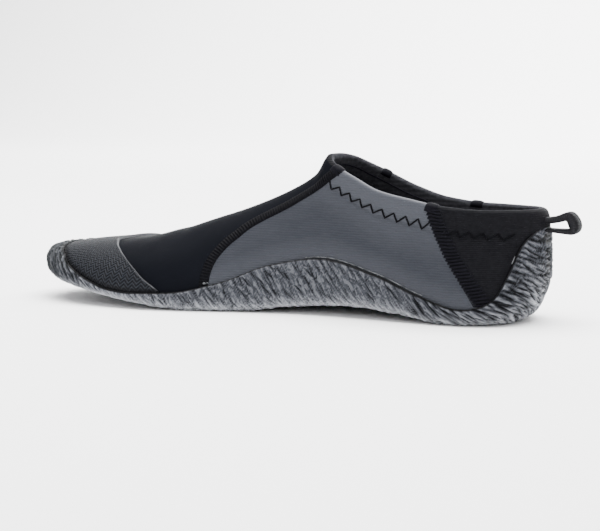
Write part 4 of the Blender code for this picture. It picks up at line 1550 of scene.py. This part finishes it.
def zigzag_points(rows, end_reach):
    """Station and height along a leaning zigzag about a path, growing towards its end."""
    path = along_path(rows, PATH_STEPS)
    corners = round(2 * run_along(path)[-1] / ZIGZAG_PITCH)
    middle = resample(path, corners + 1)
    way = unit(np.gradient(middle, axis=0))
    aside = np.stack([-way[:, 1], way[:, 0]], axis=-1)
    swing = np.where(np.arange(corners + 1) % 2 == 0, -1.0, 1.0)[:, None]
    grown = np.linspace(0.0, 1.0, corners + 1)[:, None] ** 3
    reach = ZIGZAG_REACH + (end_reach - ZIGZAG_REACH) * grown
    zigzag = middle + (aside * reach + way * ZIGZAG_LEAN) * swing
    share = np.linspace(0.0, corners, corners * ZIGZAG_STEPS + 1)
    return np.stack([np.interp(share, np.arange(corners + 1), column) for column in zigzag.T], axis=-1)


def make_hem_stitches(material):
    """The zigzags below the collar, from where each comes out from under a seam."""
    mesh = Mesh()
    for side in SIDES:
        for rows, seam, under, reach, radius in (
                (ZIGZAG, VAMP_EDGE, ZIGZAG_UNDER, ZIGZAG_END_REACH, THREAD_RADIUS),
                (HEEL_ZIGZAG, HEEL_EDGE, HEEL_ZIGZAG_UNDER, ZIGZAG_REACH, HEEL_THREAD_RADIUS)):
            points = zigzag_points(rows, reach)
            walk, turn = place(points[:, 0], points[:, 1], side)
            sink = np.abs((np.arange(len(points)) / ZIGZAG_STEPS) % 1.0 - 0.5) * 2
            edge = to_rim(seam, side)
            limit = np.interp(points[:, 1], edge[:, 1], edge[:, 0]) + under
            first = np.argmax(points[:, 0] < limit)
            thread = surface(walk, turn, ZIGZAG_LIFT - STITCH_SINK * sink ** 6)
            add_thread(mesh, thread[first:], radius)
    return mesh.make("hem_stitches", material)


def make_edge_stitches(material):
    """A row of short stitches on the heel panel, just above the rubber."""
    sink = np.abs(np.linspace(-1.0, 1.0, EDGE_POINTS)) ** 4
    mesh = Mesh()
    for side in SIDES:
        walk = side * np.linspace(*EDGE_WALK, EDGE_FINE)
        turn = turn_at(walk, rand_at(walk))
        points = form(walk, turn)
        run = run_along(points)
        way = unit(np.gradient(points, axis=0))
        upward = np.cross(way, normals(walk, turn)) * side
        w, t = nearest(points + upward * EDGE_ABOVE, walk, turn)
        for at in np.arange(EDGE_START, run[-1] - EDGE_REST, EDGE_PITCH):
            spots = np.linspace(at, at + EDGE_SHARE * EDGE_PITCH, EDGE_POINTS)
            spot_walk = np.interp(spots, run, w)
            spot_turn = np.interp(spots, run, t)
            add_thread(mesh, surface(spot_walk, spot_turn, EDGE_LIFT - STITCH_SINK * sink), THREAD_RADIUS)
    return mesh.make("edge_stitches", material)


# Glue squeezed out along the rubber's upper edge: beads along the walk, and specks beside the vamp seam
BEAD_RADIUS = 0.28
BEAD_ABOVE = 0.7
BEAD_LIFT = 0.05
BEAD_POINTS = 200
BEADS = table("side start end", (MEDIAL, 1.08, 1.47), (LATERAL, 1.08, 1.47), (MEDIAL, 0.378, 0.408))
SPECKS = table("station height radius", (174.5, 14.4, 0.9), (173.0, 14.7, 0.6))
SPECK_LIFT = 0.2
SPECK_POINTS = 9
SPECK_BLUNT = 1.02


def make_glue(material):
    mesh = Mesh()
    for bead in BEADS:
        walk = bead.side * np.linspace(bead.start, bead.end, BEAD_POINTS)
        turn = turn_at(walk, rand_at(walk) + BEAD_ABOVE)
        add_thread(mesh, surface(walk, turn, BEAD_LIFT), BEAD_RADIUS)
    along = np.linspace(-1.0, 1.0, SPECK_POINTS)
    for speck in SPECKS:
        at = speck.station + speck.radius * along
        walk, turn = place(at, np.full(SPECK_POINTS, speck.height), MEDIAL)
        add_thread(mesh, surface(walk, turn, SPECK_LIFT), speck.radius * np.sqrt(SPECK_BLUNT - along ** 2))
    return mesh.make("glue_line", material)


# Pull loop: a tape folded over behind the heel, as seen from its edge
LOOP_WIDE = 9.4
LOOP_PATH = table(
    "back height thick",
    (-0.8, -0.2, 2.9), (4.6, 0.1, 3.3), (8.6, 1.0, 3.7), (11.2, 1.9, 4.1), (13.0, 2.2, 4.5),
    (14.2, 1.2, 5.0), (15.4, -0.8, 5.3), (15.9, -2.6, 5.3), (15.7, -4.0, 4.8), (14.8, -5.1, 3.6),
    (12.6, -5.4, 2.7), (9.5, -5.3, 2.3), (5.3, -5.1, 1.9), (-0.7, -4.7, 1.9),
)
LOOP_STEPS = 120
LOOP_ACROSS = 15
LOOP_EDGE_POWER = 8
LOOP_EDGE_LEAST = 0.05


def make_loop(material):
    back = loop_root()
    rows = along_path(LOOP_PATH, LOOP_STEPS)
    path, tape = rows[:, :2], rows[:, 2]
    way = unit(np.gradient(path, axis=0))
    out = np.stack([-way[:, 1], way[:, 0]], axis=-1)
    share = np.linspace(-1.0, 1.0, LOOP_ACROSS)
    y = np.broadcast_to((share * LOOP_WIDE / 2)[:, None], (LOOP_ACROSS, LOOP_STEPS))
    thick = np.sqrt(np.clip(1.0 - np.abs(share) ** LOOP_EDGE_POWER, LOOP_EDGE_LEAST, 1.0))[:, None] * tape / 2
    grids = []
    for face in (1.0, -1.0):
        edge = path[None] + face * thick[..., None] * out[None]
        grids.append(np.stack([back + edge[..., 0], y, LOOP_HEIGHT + edge[..., 1]], axis=-1)[::-1])
    cloth = np.stack(np.broadcast_arrays(run_along(path)[None, :], y), axis=-1)
    mesh = Mesh()
    mesh.slab(*grids, cloth=cloth[::-1])
    return mesh.make("loop_tape", material, ["pull_loop"])


# Camera: as the photo was taken, with its focal length in pixels of the picture's width
IMAGE_WIDE = 600
FOCAL_PIXELS = 1550.9
SENSOR = 36.0
VIEW_TURN = 26.0
VIEW_AWAY = 828.0
VIEW_HEIGHT = 116.17
VIEW_PAN = -0.448
VIEW_PITCH = 6.526
VIEW_ROLL = 0.05
VIEW_MIDDLE_STATION = 145.0


def make_camera():
    turn = math.radians(VIEW_TURN)
    pan = turn + math.radians(VIEW_PAN)
    pitch = math.radians(VIEW_PITCH)
    roll = math.radians(VIEW_ROLL)
    centre = ORIGIN - np.array([VIEW_MIDDLE_STATION, 0.0, 0.0])
    at = centre + np.array([VIEW_AWAY * math.sin(turn), -VIEW_AWAY * math.cos(turn), VIEW_HEIGHT])
    ahead = Vector((-math.sin(pan) * math.cos(pitch), math.cos(pan) * math.cos(pitch), -math.sin(pitch)))
    level = Vector((math.cos(pan), math.sin(pan), 0.0))
    rise = level.cross(ahead)
    right = level * math.cos(roll) + rise * math.sin(roll)
    upward = rise * math.cos(roll) - level * math.sin(roll)
    data = bpy.data.cameras.new("camera")
    data.sensor_width = SENSOR
    data.lens = FOCAL_PIXELS * SENSOR / IMAGE_WIDE
    camera = bpy.data.objects.new("camera", data)
    bpy.context.scene.collection.objects.link(camera)
    pose = Matrix((right, upward, -ahead)).transposed().to_4x4()
    pose.translation = Vector(at * MM)
    camera.matrix_world = pose
    bpy.context.scene.camera = camera


# Floor and light, in metres
FLOOR_DROP = 0.00005
FLOOR_FRONT = -3.0
FLOOR_BACK = 2.0
FLOOR_HALF = 6.0
BEND_RADIUS = 1.2
BEND_STEPS = 12
WALL_TOP = 4.0
SKY_STRENGTH = 0.8
LIGHTS = table(
    "name at aim size power",
    ("top_light", (0.0, 0.1, 1.2), (0.0, 0.0, 0.0), (1.6, 1.2), 85.0),
    ("front_light", (0.5, -1.1, 0.55), (0.0, 0.0, 0.03), (0.9, 0.6), 5.0),
    ("wall_light", (0.0, 1.5, 2.0), (0.0, 3.2, 0.6), (3.0, 1.2), 330.0),
)


def make_floor():
    """A pale sweep: floor, a wide bend and a wall behind."""
    shader = Shader("pale_floor", 0.9, 0.05)
    shader.colour(linear((252, 252, 252), 1.0))
    profile = [(FLOOR_FRONT, 0.0), (FLOOR_BACK, 0.0)]
    for k in range(1, BEND_STEPS + 1):
        angle = math.pi / 2 * k / BEND_STEPS
        profile.append((FLOOR_BACK + BEND_RADIUS * math.sin(angle), BEND_RADIUS * (1.0 - math.cos(angle))))
    profile.append((FLOOR_BACK + BEND_RADIUS, WALL_TOP))
    verts = [(x, y, z - FLOOR_DROP) for y, z in profile for x in (-FLOOR_HALF, FLOOR_HALF)]
    faces = [(2 * k, 2 * k + 1, 2 * k + 3, 2 * k + 2) for k in range(len(profile) - 1)]
    data = bpy.data.meshes.new("floor")
    data.from_pydata(verts, [], faces)
    data.shade_smooth()
    data.materials.append(shader.material)
    floor = bpy.data.objects.new("floor", data)
    bpy.context.scene.collection.objects.link(floor)


def make_light():
    world = bpy.data.worlds.new("studio")
    world.use_nodes = True
    sky = world.node_tree.nodes["Background"]
    sky.inputs["Color"].default_value = (1.0, 1.0, 1.0, 1.0)
    sky.inputs["Strength"].default_value = SKY_STRENGTH
    bpy.context.scene.world = world
    for row in LIGHTS:
        data = bpy.data.lights.new(row.name, "AREA")
        data.shape = "RECTANGLE"
        data.size, data.size_y = row.size
        data.energy = row.power
        light = bpy.data.objects.new(row.name, data)
        bpy.context.scene.collection.objects.link(light)
        light.location = row.at
        light.rotation_euler = (Vector(row.aim) - Vector(row.at)).to_track_quat("-Z", "Y").to_euler()


def main():
    make_camera()
    make_floor()
    make_light()
    jersey = jersey_material()
    neoprene = neoprene_material()
    black = panel_material()
    # Lining and facing are lifted well above the black cloth's own colour as painted light inside the collar,
    # the facing more than the lining
    lining = lining_material("black_lining_painted_light", (44, 44, 50), (60, 60, 66))
    facing = lining_material("black_facing_painted_light", (72, 72, 78), (94, 94, 100))
    thread = thread_material()
    make_sole()
    make_insole(insole_material())
    make_vamp(neoprene)
    for label, side in SIDE_NAMES:
        make_quarter(f"quarter_{label}", side, jersey)
    make_heel_panel(black)
    make_lining(lining)
    make_collar(jersey, black, facing)
    make_wraps("heel_wraps", HEEL_EDGE, HEEL_WRAP, thread)
    make_wraps("vamp_wraps", VAMP_EDGE, VAMP_WRAP, thread)
    make_facing_line(thread)
    make_toe_cap(cap_material())
    seams = (("vamp", VAMP_EDGE, VAMP_LOCK, 1.0), ("heel", HEEL_EDGE, HEEL_LOCK, -1.0))
    for seam, rows, lock, outward in seams:
        for label, side in SIDE_NAMES:
            make_seam(f"{seam}_lock_{label}", rows, side, lock, outward, thread, f"{seam}_seam_{label}")
    make_hem_stitches(thread)
    make_edge_stitches(thread)
    make_glue(bead_material())
    make_loop(webbing_material())


main()
